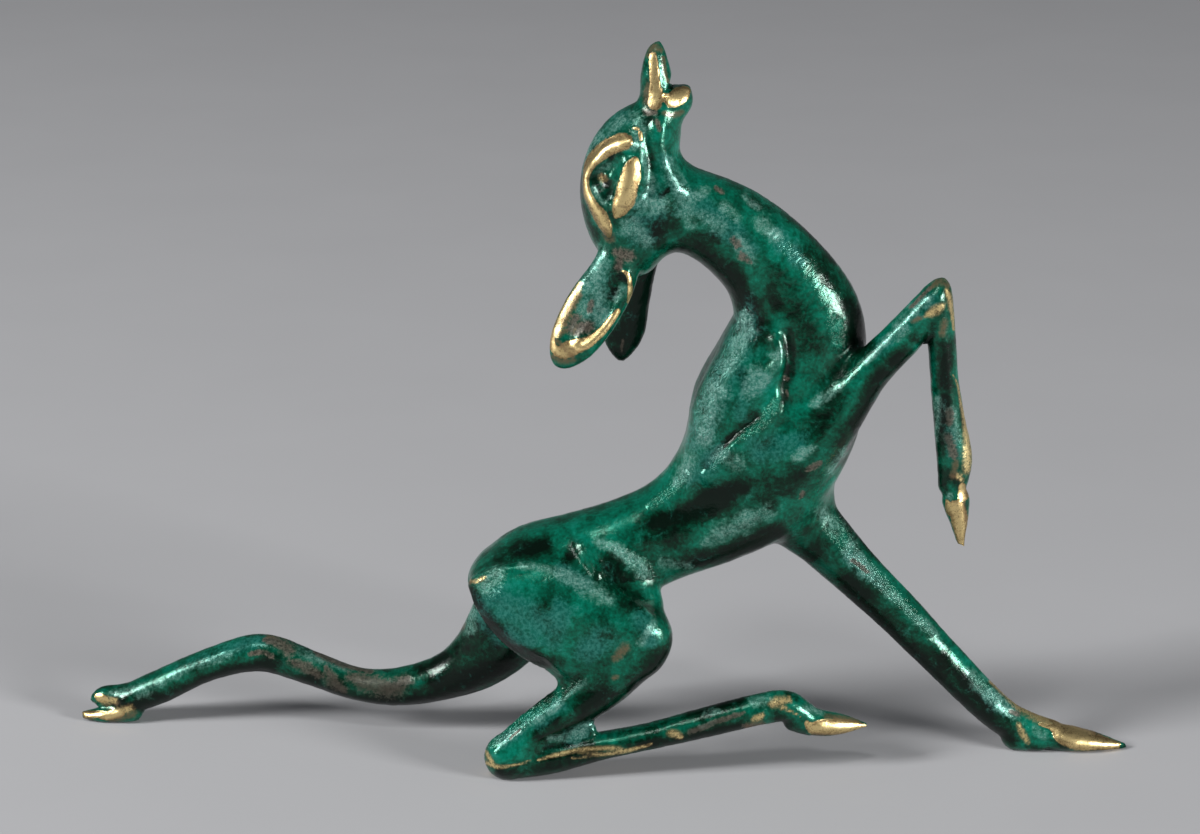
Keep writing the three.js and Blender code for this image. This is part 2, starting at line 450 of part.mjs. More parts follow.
// Collapses the edges that matter least until few enough triangles are left
function simplify(positions, triangles, limit) {
  const quadrics = positions.map(() => new Float64Array(10));
  const touching = positions.map(() => new Set());
  triangles.forEach((tri, f) => {
    const { n, w, area } = planeOf(...tri.map((v) => positions[v]));
    const [a, b, c] = n;
    const q = [a * a, a * b, a * c, a * w, b * b, b * c, b * w, c * c, c * w, w * w];
    for (const v of tri) {
      touching[v].add(f);
      for (let m = 0; m < 10; m++) quadrics[v][m] += q[m] * area;
    }
  });
  const stamp = new Int32Array(positions.length);
  const heap = [];
  const less = (x, y) => x.cost < y.cost || (x.cost === y.cost && x.order < y.order);
  const push = (item) => {
    let i = heap.length;
    heap.push(item);
    while (i > 0) {
      const up = (i - 1) >> 1;
      if (!less(item, heap[up])) break;
      heap[i] = heap[up];
      i = up;
    }
    heap[i] = item;
  };
  const pop = () => {
    const top = heap[0];
    const item = heap.pop();
    if (heap.length) {
      let i = 0;
      for (;;) {
        let down = 2 * i + 1;
        if (down >= heap.length) break;
        if (down + 1 < heap.length && less(heap[down + 1], heap[down])) down += 1;
        if (!less(heap[down], item)) break;
        heap[i] = heap[down];
        i = down;
      }
      heap[i] = item;
    }
    return top;
  };
  const error = (q, p) => q[0] * p[0] * p[0] + 2 * q[1] * p[0] * p[1] + 2 * q[2] * p[0] * p[2]
    + 2 * q[3] * p[0] + q[4] * p[1] * p[1] + 2 * q[5] * p[1] * p[2] + 2 * q[6] * p[1]
    + q[7] * p[2] * p[2] + 2 * q[8] * p[2] + q[9];
  let order = 0;
  const offer = (u, v) => {
    const q = quadrics[u].map((value, m) => value + quadrics[v][m]);
    const a = positions[u];
    const b = positions[v];
    const gap = Math.hypot(a[0] - b[0], a[1] - b[1], a[2] - b[2]);
    const choices = [a, b, [0, 1, 2].map((m) => (a[m] + b[m]) / 2)];
    const det = q[0] * (q[4] * q[7] - q[5] * q[5]) - q[1] * (q[1] * q[7] - q[5] * q[2])
      + q[2] * (q[1] * q[5] - q[4] * q[2]);
    if (Math.abs(det) > 1e-9) {
      const x = -(q[3] * (q[4] * q[7] - q[5] * q[5]) - q[1] * (q[6] * q[7] - q[5] * q[8])
        + q[2] * (q[6] * q[5] - q[4] * q[8])) / det;
      const y = -(q[0] * (q[6] * q[7] - q[8] * q[5]) - q[3] * (q[1] * q[7] - q[5] * q[2])
        + q[2] * (q[1] * q[8] - q[6] * q[2])) / det;
      const z = -(q[0] * (q[4] * q[8] - q[5] * q[6]) - q[1] * (q[1] * q[8] - q[6] * q[2])
        + q[3] * (q[1] * q[5] - q[4] * q[2])) / det;
      if (Math.hypot(x - choices[2][0], y - choices[2][1], z - choices[2][2]) < gap * 1.5) {
        choices.push([x, y, z]);
      }
    }
    let best = choices[0];
    let cost = Infinity;
    for (const choice of choices) {
      if (choice[2] < 0) choice[2] = 0;
      const e = error(q, choice);
      if (e < cost) {
        cost = e;
        best = choice;
      }
    }
    order += 1;
    push({ u, v, su: stamp[u], sv: stamp[v], p: [...best], cost: cost + 1e-4 * gap * gap, order });
  };
  const around = (v) => {
    const set = new Set();
    for (const f of touching[v]) for (const n of triangles[f]) if (n !== v) set.add(n);
    return set;
  };
  triangles.forEach((tri) => {
    for (let e = 0; e < 3; e++) if (tri[e] < tri[(e + 1) % 3]) offer(tri[e], tri[(e + 1) % 3]);
  });
  let left = triangles.length;
  const alive = new Uint8Array(triangles.length).fill(1);
  while (left > limit && heap.length) {
    const { u, v, su, sv, p } = pop();
    if (stamp[u] !== su || stamp[v] !== sv) continue;
    const ringU = around(u);
    const ringV = around(v);
    let shared = 0;
    for (const n of ringU) if (ringV.has(n)) shared += 1;
    if (shared !== 2 || ringU.size < 4 || ringV.size < 4) continue;
    let fine = true;
    for (const [one, other] of [[u, v], [v, u]]) {
      for (const f of touching[one]) {
        const tri = triangles[f];
        if (tri.includes(other)) continue;
        const old = planeOf(...tri.map((m) => positions[m]));
        const corners = tri.map((m) => (m === one ? p : positions[m]));
        const now = planeOf(...corners);
        const longest = Math.max(...[0, 1, 2].map((m) => Math.hypot(
          ...[0, 1, 2].map((k) => corners[m][k] - corners[(m + 1) % 3][k]))));
        const turned = old.n[0] * now.n[0] + old.n[1] * now.n[1] + old.n[2] * now.n[2];
        const thin = now.area < 0.035 * longest * longest;
        if ((old.area > 1e-6 && turned < 0.35) || (thin && old.area > now.area)) {
          fine = false;
          break;
        }
      }
      if (!fine) break;
    }
    if (!fine) continue;
    for (const f of [...touching[v]]) {
      const tri = triangles[f];
      if (tri.includes(u)) {
        alive[f] = 0;
        left -= 1;
        for (const n of tri) touching[n].delete(f);
      } else {
        triangles[f] = tri.map((n) => (n === v ? u : n));
        touching[u].add(f);
      }
    }
    touching[v].clear();
    positions[u] = p;
    for (let m = 0; m < 10; m++) quadrics[u][m] += quadrics[v][m];
    stamp[v] += 1;
    stamp[u] += 1;
    for (const n of around(u)) offer(Math.min(u, n), Math.max(u, n));
  }
  return triangles.filter((tri, f) => alive[f]);
}

function buildFigure() {
  const { positions, triangles } = polygonise();
  const kept = simplify(positions, triangles, TRIANGLE_LIMIT);
  const renumber = new Map();
  const flat = [];
  const index = [];
  for (const tri of kept) {
    for (const v of tri) {
      if (!renumber.has(v)) {
        renumber.set(v, flat.length / 3);
        const p = positions[v];
        settle(p);
        flat.push(...p);
      }
      index.push(renumber.get(v));
    }
  }
  const geometry = new THREE.BufferGeometry();
  geometry.setAttribute('position', new THREE.Float32BufferAttribute(flat, 3));
  geometry.setIndex(index);
  geometry.computeVertexNormals();
  return geometry;
}

const bronze = new THREE.MeshStandardMaterial({ color: 0x0b5a40, roughness: 0.3, metalness: 0.6 });
bronze.name = 'patinated_bronze';
const fawn = new THREE.Mesh(buildFigure(), bronze);
fawn.name = 'fawn';
const figure = new THREE.Group();
figure.name = 'kneeling_fawn';
figure.add(fawn);
export default figure;
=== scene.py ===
"""The looks of a small patinated bronze fawn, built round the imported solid.

The form is worked out in millimetres, in the frame of the solid: X runs from the
stretched hind hoof to the planted fore hoof, Y from the kneeling side to the
stretched side, and Z is up. The meshes are made in metres.
"""
import math

import bmesh
import bpy
import numpy as np
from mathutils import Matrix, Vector, noise


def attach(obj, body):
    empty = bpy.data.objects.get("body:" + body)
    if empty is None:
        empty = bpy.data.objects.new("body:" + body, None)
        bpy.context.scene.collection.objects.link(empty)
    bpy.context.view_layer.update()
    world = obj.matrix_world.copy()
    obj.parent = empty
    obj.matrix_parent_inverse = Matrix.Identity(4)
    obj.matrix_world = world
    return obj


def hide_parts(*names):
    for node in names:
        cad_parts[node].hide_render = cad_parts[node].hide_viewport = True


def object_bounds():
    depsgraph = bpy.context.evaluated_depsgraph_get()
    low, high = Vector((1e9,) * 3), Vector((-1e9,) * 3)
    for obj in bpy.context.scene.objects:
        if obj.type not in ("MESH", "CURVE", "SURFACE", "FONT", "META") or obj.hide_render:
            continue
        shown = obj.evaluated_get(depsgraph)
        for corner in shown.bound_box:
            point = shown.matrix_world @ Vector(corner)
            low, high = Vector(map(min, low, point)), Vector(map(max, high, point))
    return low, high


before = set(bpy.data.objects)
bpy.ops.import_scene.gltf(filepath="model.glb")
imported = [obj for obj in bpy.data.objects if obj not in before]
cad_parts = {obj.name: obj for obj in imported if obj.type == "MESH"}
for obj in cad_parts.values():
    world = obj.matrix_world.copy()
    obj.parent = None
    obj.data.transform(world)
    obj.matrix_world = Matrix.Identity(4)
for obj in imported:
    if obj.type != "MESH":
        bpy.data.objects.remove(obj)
cad_low, cad_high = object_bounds()

MM = 0.001

# The photograph's camera: its place over the near edge, its pitch and its long lens
PHOTO_SIZE = (1200, 834)
CAMERA_PLACE = (0.0, -0.3718, 0.1619)
CAMERA_PITCH = math.radians(17.8)
CAMERA_AHEAD = np.array([0, math.cos(CAMERA_PITCH), -math.sin(CAMERA_PITCH)])
CAMERA_UP = np.array([0, math.sin(CAMERA_PITCH), math.cos(CAMERA_PITCH)])
LENS = 99.0
SENSOR = 36.0
CLIP = (0.01, 20.0)

# How finely the surface is worked out, in millimetres
VOXEL = 0.40
FINE_LOW = (-8, -9, 50)
FINE_HIGH = (11.5, 9, 90)
CURVE_STEPS = 8
LINE_STEPS = 4
LEAST_RADIUS = 0.12
REACH = 7.0
FAR = 1000.0
BOX_MARGIN = 0.01

# How the points are moved onto the surface, in millimetres
SETTLE_ROUNDS = 3
SLOPE_STEP = 0.02
LEAST_SLOPE = 0.2
LONGEST_MOVE = 0.35

# Carving depths and heights, and how many half widths each line reaches
CARVE_REACH = 3
EYE_DEPTH = 0.7
PUPIL_HEIGHT = 0.6
BROW_HEIGHT = 0.5
CHEEK_HEIGHT = 0.7
JAW_HEIGHT = 0.4
BLADE_HEIGHT = 0.5
BLADE_CREASE = 0.75
ARM_CREASE = 0.6
ARM_EDGE = 0.3
FLANK_FOLD = 0.5
WAIST_HOLLOW = 0.5
SHANK_EDGE = 0.3
LID_HEIGHT = 0.25

# The bevel along the back edge of the kneeling thigh: a cone about a line across, with a
# plain rim, that runs out toward the front, the far side and the top
BEVEL_X = -0.3
BEVEL_Z = 27.9
BEVEL_RADIUS = 15.1
BEVEL_AT_Y = -8.0
BEVEL_RIM = 15.9
BEVEL_TOP = 23.9
BEVEL_FRONT = -6.5
BEVEL_BACK = -1.5
BEVEL_TOP_FALL = 2.5
BEVEL_FRONT_FALL = 0.5
BEVEL_SOFTNESS = 0.2

# A station along a limb is x, y, z, half depth in the side plane, half width across
TRUNK = [
    (-11.0, 0, 22.0, 4.6, 4.8), (-7.5, 0, 23.2, 5.6, 6.0), (-2.5, 0, 24.4, 5.8, 5.8),
    (3.3, 0, 26.2, 5.9, 5.2), (8.6, 0, 28.6, 6.0, 5.2), (13.4, 0, 31.5, 7.1, 5.6),
    (18.2, 0, 36.2, 8.9, 6.2), (21.4, 0, 43.0, 9.4, 6.6), (22.6, 0, 49.0, 8.6, 6.0),
    (23.2, 0, 54.4, 7.5, 5.4), (20.4, 0, 60.4, 6.0, 4.9), (15.8, 0, 65.0, 5.3, 4.5),
    (10.3, 0, 67.9, 4.8, 4.3), (6.0, 0, 69.5, 4.3, 4.2),
]
HEAD = [
    (4.0, 0, 63.0, 3.1, 3.6), (3.8, 0, 66.5, 5.3, 4.8), (3.6, 0, 70.7, 5.9, 5.2),
    (4.2, 0, 74.6, 5.0, 4.6), (6.2, 0, 78.0, 3.2, 3.5), (7.2, 0, 80.2, 2.4, 2.8),
]
NOSE = [
    (6.7, 0, 80.6, 2.1, 2.4), (6.5, 0, 82.7, 1.9, 2.1), (6.4, 0, 84.4, 1.6, 1.8),
    (6.4, 0, 86.1, 1.1, 1.3), (6.6, 0, 87.3, 0.35, 0.4),
]
CHIN = [(7.6, 0, 79.6, 2.2, 2.4), (8.9, 0, 80.6, 1.7, 2.1), (9.6, 0, 81.5, 0.95, 1.4)]
NEAR_EAR = [
    (2.4, -2.6, 63.6, 2.2, 1.6), (1.4, -3.4, 60.6, 2.9, 1.5), (-0.7, -4.2, 57.2, 3.3, 1.5),
    (-2.7, -4.9, 54.0, 2.9, 1.4), (-4.0, -5.3, 52.0, 1.8, 1.1), (-4.6, -5.5, 51.0, 0.5, 0.5),
]
FAR_EAR = [
    (5.2, 2.4, 63.2, 2.2, 1.5), (4.5, 3.1, 60.0, 2.1, 1.5), (3.2, 3.9, 56.0, 2.7, 1.5),
    (2.8, 4.3, 52.4, 2.6, 1.3), (2.6, 4.5, 50.0, 1.6, 1.0), (2.5, 4.6, 48.2, 0.3, 0.3),
]
STRETCHED_LEG = [
    (-8.5, 3.2, 20.0, 5.6, 3.8), (-10.8, 4.2, 14.9, 5.2, 3.6), (-14.4, 5.0, 10.2, 4.0, 3.2),
    (-18.8, 5.8, 7.2, 2.9, 2.8), (-24.8, 6.4, 5.5, 2.35, 2.5), (-30.2, 6.9, 5.7, 2.0, 2.3),
    (-35.6, 7.2, 7.6, 2.1, 2.2), (-41.8, 7.6, 9.5, 2.35, 2.2), (-48.4, 8.2, 7.7, 2.0, 2.1),
    (-54.6, 8.7, 4.6, 2.1, 2.1), (-58.6, 9.0, 2.8, 1.9, 2.1),
]
STRETCHED_TOE = [
    (-58.5, 9.2, 3.0, 1.5, 1.6), (-61.5, 9.4, 3.0, 1.3, 1.3), (-63.0, 9.5, 2.7, 0.6, 0.7),
]
STRETCHED_HOOF = [
    (-58.5, 8.8, 1.45, 1.6, 1.8), (-62.0, 8.8, 0.8, 0.95, 1.4), (-64.8, 8.8, 0.7, 0.3, 0.5),
]
PLANTED_LEG = [
    (22.0, 2.4, 33.5, 5.4, 3.6), (24.5, 2.2, 29.0, 4.2, 3.3), (26.8, 1.9, 26.6, 3.6, 3.0),
    (31.2, 1.4, 22.1, 3.05, 2.6), (36.0, 1.0, 17.4, 2.75, 2.3), (42.0, 0.5, 11.1, 2.45, 2.1),
    (48.2, 0.1, 4.9, 2.25, 2.0), (51.6, 0, 2.9, 2.1, 2.0), (55.0, 0, 2.1, 1.6, 1.8),
]
PLANTED_HEEL = [(50.8, 0, 1.8, 1.9, 1.9), (53.6, -0.1, 0.9, 1.0, 1.7)]
PLANTED_HOOF = [
    (55.2, 0, 1.6, 1.7, 1.9), (57.6, 0, 1.3, 1.5, 2.2), (60.6, 0, 0.9, 1.05, 1.7),
    (64.1, 0, 0.35, 0.3, 0.45),
]
THIGH = [
    (-11.2, -4.8, 21.6, 4.7, 4.0), (-7.0, -5.6, 19.8, 6.6, 4.1), (-1.5, -6.4, 18.0, 6.6, 4.0),
    (3.6, -6.9, 17.2, 4.7, 3.4), (5.7, -7.0, 17.6, 2.9, 2.5),
]
SHANK = [
    (4.2, -7.0, 15.1, 3.0, 2.9), (0.9, -7.2, 11.9, 3.1, 2.9), (-2.2, -7.5, 9.6, 3.0, 2.7),
    (-6.8, -8.0, 6.6, 2.5, 2.5), (-11.0, -8.4, 2.8, 2.6, 2.4),
]
CANNON = [
    (-11.0, -8.5, 2.4, 2.6, 2.3), (-6.0, -8.2, 2.4, 2.0, 2.1), (0.0, -7.8, 3.7, 1.7, 1.9),
    (5.5, -7.4, 4.7, 1.6, 1.8), (12.0, -6.9, 6.2, 1.8, 1.8), (19.0, -6.3, 7.8, 1.9, 1.9),
    (22.2, -6.0, 8.1, 1.9, 1.9), (24.2, -5.8, 6.9, 1.75, 1.8),
]
KNEELING_HEEL = [(23.4, -5.8, 6.3, 1.5, 1.5), (25.0, -5.6, 5.2, 0.9, 1.2)]
KNEELING_HOOF = [
    (24.6, -5.8, 6.3, 1.7, 1.6), (26.6, -5.6, 5.75, 1.6, 1.8), (29.2, -5.2, 5.45, 1.15, 1.4),
    (32.1, -4.9, 5.2, 0.2, 0.35),
]
RAISED_ARM = [
    (17.5, -3.4, 37.5, 5.6, 3.4), (22.5, -4.2, 39.8, 4.6, 3.4), (26.8, -4.6, 43.1, 3.3, 3.0),
    (31.2, -4.9, 49.5, 2.5, 2.6), (35.5, -5.0, 54.3, 2.3, 2.3), (38.5, -5.0, 58.2, 1.9, 2.0),
]
RAISED_SHIN = [
    (39.4, -5, 60.3, 0.7, 1.1), (39.1, -5, 59.1, 1.5, 1.8), (39.3, -5, 56.2, 1.7, 1.9),
    (39.75, -5, 52.0, 1.65, 1.85), (40.1, -5, 48.4, 1.65, 1.8), (40.8, -5, 43.7, 1.85, 1.8),
    (41.5, -5.1, 39.5, 2.1, 1.8), (41.5, -5.2, 37.2, 1.9, 1.65), (41.35, -5.3, 36.1, 1.7, 1.5),
]
RAISED_HOOF = [
    (41.6, -5.3, 35.2, 1.3, 1.35), (41.85, -5.3, 33.9, 1.6, 1.6), (42.25, -5.4, 31.6, 1.1, 1.2),
    (42.45, -5.5, 29.8, 0.7, 0.75), (42.75, -5.5, 27.5, 0.2, 0.2),
]
NEAR_BLADE = [
    (21.8, -1.4, 57.6, 1.6, 1.2), (20.0, -2.0, 53.2, 2.6, 2.4), (17.6, -2.6, 48.8, 3.7, 3.1),
    (15.6, -2.9, 44.2, 4.6, 3.4), (15.8, -2.8, 39.5, 4.6, 3.4),
]
FAR_BLADE = [
    (21.8, 1.4, 57.6, 1.6, 1.2), (20.0, 2.0, 53.2, 2.6, 2.4), (17.6, 2.6, 48.8, 3.6, 3.1),
    (15.8, 2.9, 44.2, 4.5, 3.4), (16.0, 2.8, 39.5, 4.5, 3.4),
]
FLANK_WEB = [(3.0, -3.4, 24.0, 2.4, 1.6), (5.2, -4.6, 20.8, 1.9, 1.8)]
HOCK_WEB = [(-8.0, -8.2, 4.6, 1.6, 1.6), (-4.2, -8.0, 5.2, 1.3, 1.3), (-1.4, -7.9, 5.8, 1.0, 1.0)]

# Stations, power of the section (2 is an ellipse, less is more ridged), softness of the joint
LIMBS = [
    (TRUNK, 2.2, 0), (HEAD, 2, 2.4), (NOSE, 2.2, 0.8),
    (NEAR_EAR, 2, 0.9), (FAR_EAR, 2, 0.9), (THIGH, 2.4, 3.2),
    (STRETCHED_LEG, 2, 2.0), (STRETCHED_TOE, 2, 0.5), (STRETCHED_HOOF, 2, 0.5),
    (PLANTED_LEG, 1.7, 3.0),
    (SHANK, 1.55, 1.6), (CANNON, 2, 1.0),
    (RAISED_ARM, 1.7, 1.8),
    (CHIN, 2.2, 0.5),
    (KNEELING_HOOF, 1.8, 0.35), (KNEELING_HEEL, 2, 0.4),
    (PLANTED_HEEL, 2, 0.5), (PLANTED_HOOF, 1.8, 0.35),
    (RAISED_SHIN, 1.7, 0.6), (RAISED_HOOF, 1.6, 0.3),
    (NEAR_BLADE, 2, 3.0), (FAR_BLADE, 2, 3.0),
    (FLANK_WEB, 2, 2.4), (HOCK_WEB, 2, 0.5),
]

# Hollows taken away: the open mouth and the cups of both ears
HOLLOWS = [
    ([(7.2, 0, 81.2, 0.2, 3.2), (8.6, 0, 83.3, 0.5, 3.2), (10.4, 0, 85.8, 1.2, 3.2)], 2, 0.25),
    ([(2.0, -5.4, 61.8, 1.3, 1.3), (1.3, -5.8, 59.4, 1.9, 1.6), (-0.3, -6.4, 56.8, 2.1, 1.8),
      (-1.9, -6.9, 54.6, 1.6, 1.5), (-2.9, -7.1, 53.6, 0.8, 0.9)], 2, 0.4),
    ([(4.2, 5.6, 60.4, 1.0, 1.4), (3.3, 6.3, 56.2, 1.9, 1.7), (2.8, 6.6, 52.9, 1.7, 1.5),
      (2.6, 6.5, 51.0, 0.7, 0.8)], 2, 0.5),
]

# Lines of carving: half width, height (below zero cuts in), points. The face is the same
# on both sides and is given for the near side.
BROW = [
    (3.2, -4.5, 76.7), (1.2, -4.1, 76.2), (-0.2, -3.7, 74.9), (-1.2, -3.3, 73.6),
    (-1.7, -3.0, 72.1), (-1.6, -3.5, 70.6), (-0.8, -4.1, 69.2), (0.2, -4.6, 67.9), (0.9, -4.7, 66.6),
]
CHEEK = [(3.5, -5.0, 74.2), (3.4, -5.3, 72.8), (2.9, -5.4, 71.2), (2.2, -5.3, 69.7)]
UPPER_LID = [(-0.9, -3.6, 72.6), (0.2, -4.2, 74.0), (1.9, -4.4, 75.0)]
LOWER_LID = [(-0.7, -3.6, 71.9), (0.0, -4.3, 70.6), (0.8, -4.7, 69.6)]
FACE = [
    (0.8, -EYE_DEPTH, [(-0.4, -3.8, 72.6), (0.6, -4.2, 73.0), (1.4, -4.5, 74.2)]),
    (0.8, -EYE_DEPTH, [(0.1, -4.1, 72.0), (1.0, -4.6, 71.6), (1.2, -4.7, 70.6)]),
    (0.45, PUPIL_HEIGHT, [(0.5, -4.0, 72.75), (0.52, -4.0, 72.65)]),
    (0.3, LID_HEIGHT, UPPER_LID),
    (0.3, LID_HEIGHT, LOWER_LID),
    (0.85, BROW_HEIGHT, BROW),
    (1.25, CHEEK_HEIGHT, CHEEK),
    (1.2, JAW_HEIGHT, [(6.8, -3.5, 78.2), (7.0, -3.8, 76.3), (7.8, -3.8, 74.4), (8.9, -4.1, 71.5)]),
    (0.8, -JAW_HEIGHT, [(5.3, -3.4, 78.5), (5.6, -3.9, 76.2), (5.8, -4.4, 73.6), (5.6, -4.8, 71.0)]),
]
RELIEF = [
    (0.9, BLADE_HEIGHT, [(20.4, -6.0, 53.6), (20.9, -6.4, 51.6), (20.2, -6.6, 50.2)]),
    (0.7, BLADE_HEIGHT / 2, [(20.6, -6.4, 50.8), (19.1, -6.4, 49.5), (18.0, -6.6, 47.9)]),
    (0.65, -BLADE_CREASE, [(21.6, -5.4, 54.4), (22.0, -5.8, 52.0), (21.9, -6.1, 50.0),
                           (21.5, -6.3, 48.2), (21.3, -6.3, 46.2)]),
    (0.6, -ARM_CREASE, [(18.3, -6.6, 44.8), (17.2, -6.6, 43.8), (16.3, -6.6, 42.9), (15.1, -6.6, 41.8),
                        (13.8, -6.4, 40.2), (12.2, -5.8, 38.1)]),
    (1.1, BLADE_HEIGHT, [(20.6, -6.3, 46.8), (19.8, -6.4, 45.0), (18.7, -6.8, 43.4), (17.0, -7.0, 42.0),
                         (15.2, -7.1, 40.8), (13.8, -7.0, 39.0), (12.6, -6.3, 37.0)]),
    (1.1, ARM_EDGE, [(23.4, -6.6, 44.4), (27.8, -6.7, 48.3), (31.2, -7.0, 52.1), (34.5, -6.9, 55.5),
                     (37.9, -6.7, 59.0)]),
    (0.8, FLANK_FOLD, [(-2.0, -5.2, 28.4), (-1.2, -6.0, 27.2), (-0.2, -7.0, 25.6)]),
    (1.6, -WAIST_HOLLOW, [(6.5, -4.5, 31.2), (10.6, -5.2, 32.8), (14.1, -6.5, 35.0), (16.6, -7.2, 37.0)]),
    (1.2, WAIST_HOLLOW / 2, [(10.4, -5.2, 28.4), (15.9, -5.7, 31.0), (19.6, -6.0, 33.0)]),
    (0.7, ARM_EDGE, [(-15.2, -6.0, 23.8), (-13.6, -7.0, 25.0), (-11.6, -7.0, 26.1), (-8.4, -7.2, 26.5)]),
    (0.45, SHANK_EDGE, [(-1.5, -9.7, 12.8), (-5.0, -9.7, 9.7), (-8.9, -9.7, 7.1), (-12.4, -10.0, 3.8)]),
    (0.7, -ARM_EDGE, [(-6.8, -9.8, 5.2), (-4.0, -9.6, 5.4), (-1.4, -9.2, 6.0)]),
    (0.8, -ARM_EDGE, [(-13.9, 4.0, 19.0), (-13.2, 2.2, 16.0), (-12.6, 1.2, 12.6)]),
]

# Marks of wear and of painted shade and highlight, by the part of the figure they lie on: a box, the
# middle of that part across, and lines as the photograph shows them, in its pixels: right, down and
# half width. A mark lies on the near side and is laid over the far side in the same way. The dark
# and deep marks are painted shade on undersides, in creases and on faces turned from the light; the
# pale marks are worn patina and, along lit ridges, painted highlight; the film marks are a thin
# bluish film and, in places, painted sheen.
HEAD_MARKS = {
    "clean": [
        [(631, 143, 1.5), (624, 141, 9), (610, 146.5, 9.5), (598, 155, 8.5), (590, 165, 6),
         (586, 178, 3.5), (587, 192, 4), (593, 205, 5.5), (601, 217, 7.5), (606, 227, 6.5), (609, 235, 3)],
        [(635, 160, 4), (632, 169, 9.5), (630, 180, 11.5), (627, 190, 12), (624, 200, 11.5),
         (620, 209, 8.5), (616, 216, 3)],
        [(653, 56, 4.5), (654, 68, 5.5), (655, 84, 6), (656, 94, 8), (655, 103, 8)],
        [(664, 95, 2), (672, 100, 8.5), (680, 95, 9.5), (686, 91, 5)], [(640, 133, 2.5), (641, 139, 2)],
        [(634, 128, 1.5), (638, 129, 2)]],
    "stain": [
        [(602, 175, 3), (605, 178, 4)], [(648, 56, 3), (654, 47, 6), (660, 50, 4)],
        [(663, 58, 3), (665, 72, 2.5), (668, 82, 2)],
        [(648, 84, 3), (646, 94, 3.5), (648, 104, 5), (655, 107, 3)],
        [(604, 228, 2), (608, 236, 6), (612, 240, 4)], [(619, 206, 1.5), (626, 207, 2)],
        [(664, 113, 3), (673, 115, 4), (682, 112, 3)], [(624, 133, 1.2), (628, 139, 1.5)]],
    "brass": [[(602, 177, 4.5), (604, 179, 4.5)]],
    "chip": [
        [(616, 252, 7), (630, 256, 8)], [(645, 112, 5), (655, 112, 4)], [(657, 122, 4), (660, 130, 3)]],
    "pale_and_highlight": [
        [(632, 116, 7), (640, 122, 9), (636, 145, 7)], [(643, 156, 4), (648, 172, 5), (651, 188, 8)],
        [(645, 204, 14), (664, 202, 9)], [(632, 226, 12), (645, 240, 8)],
        [(668, 165, 9), (676, 185, 9), (684, 205, 12), (692, 222, 9)], [(600, 170, 5), (607, 165, 5)],
        [(594, 188, 3), (602, 202, 3)], [(612, 192, 2.5), (606, 203, 3)], [(604, 252, 8), (600, 262, 8)],
        [(624, 120, 7), (608, 130, 7), (594, 142, 6), (585, 158, 4)]],
    "film_and_sheen": [
        [(624, 118, 12), (606, 130, 12), (590, 148, 9), (582, 170, 6)], [(650, 200, 20), (640, 232, 16)],
        [(664, 160, 8), (672, 180, 8), (684, 205, 14)]],
    "painted_shade": [
        [(658, 236, 11), (666, 220, 10), (676, 232, 6)], [(636, 221, 3), (650, 219, 3)],
        [(591, 177, 4), (597, 190, 4)], [(609, 182, 3), (606, 186, 3)], [(612, 155, 4), (620, 152, 3)],
        [(650, 118, 6), (656, 114, 5)], [(668, 190, 2), (660, 197, 2)],
        [(580, 176, 2), (580, 190, 3), (583, 207, 3), (591, 225, 3), (597, 240, 3)],
        [(690, 242, 9), (672, 250, 5)]],
}
NEAR_EAR_MARKS = {
    "film_and_sheen": [[(598, 268, 14), (594, 300, 16), (604, 320, 10)]],
    "clean": [
        [(563, 352, 8), (571, 348, 9), (584, 344, 7), (594, 338, 5.5), (604, 329, 4.5), (612, 319, 4),
         (618, 311, 3)],
        [(553, 325, 2), (552, 336, 3), (553, 346, 4), (558, 352, 6)],
        [(623, 271, 1.5), (628, 275, 2.5), (630, 284, 2.5), (630, 294, 3), (629, 302, 2.5)]],
    "brass": [[(580, 284, 3), (574, 296, 6), (566, 309, 8), (560, 322, 7), (556, 334, 6)]],
    "stain": [
        [(553, 357, 4), (562, 361, 4), (574, 360, 3)], [(568, 349, 3), (575, 350, 3)],
        [(556, 326, 3), (562, 318, 3)], [(578, 296, 5), (570, 308, 6), (564, 322, 5)],
        [(566, 331, 3), (560, 333, 3)], [(556, 340, 3), (572, 356, 4)]],
    "chip": [
        [(576, 318, 7), (572, 328, 9), (588, 327, 8)], [(620, 258, 8), (618, 268, 5)],
        [(592, 302, 4), (590, 310, 4)]],
    "pale_and_highlight": [
        [(598, 264, 14), (592, 282, 14), (598, 302, 14), (602, 318, 12)], [(582, 306, 7), (580, 314, 6)],
        [(616, 300, 6), (622, 290, 6)], [(590, 290, 4), (586, 296, 4)]],
    "painted_shade": [
        [(622, 277, 4), (626, 280, 3)], [(615, 290, 3), (612, 296, 4)],
        [(612, 344, 4), (640, 306, 6), (638, 290, 4)]],
}
# The far ear lies in shadow: its deep and dark marks are painted shade over the whole ear
FAR_EAR_MARKS = {
    "deep": [[(650, 270, 20), (640, 310, 24), (620, 350, 20)]],
    "painted_shade": [[(640, 290, 14), (630, 320, 16), (615, 350, 12)], [(650, 270, 8), (652, 300, 8)]],
    "chip": [[(623, 340, 2), (621, 352, 2)]],
}
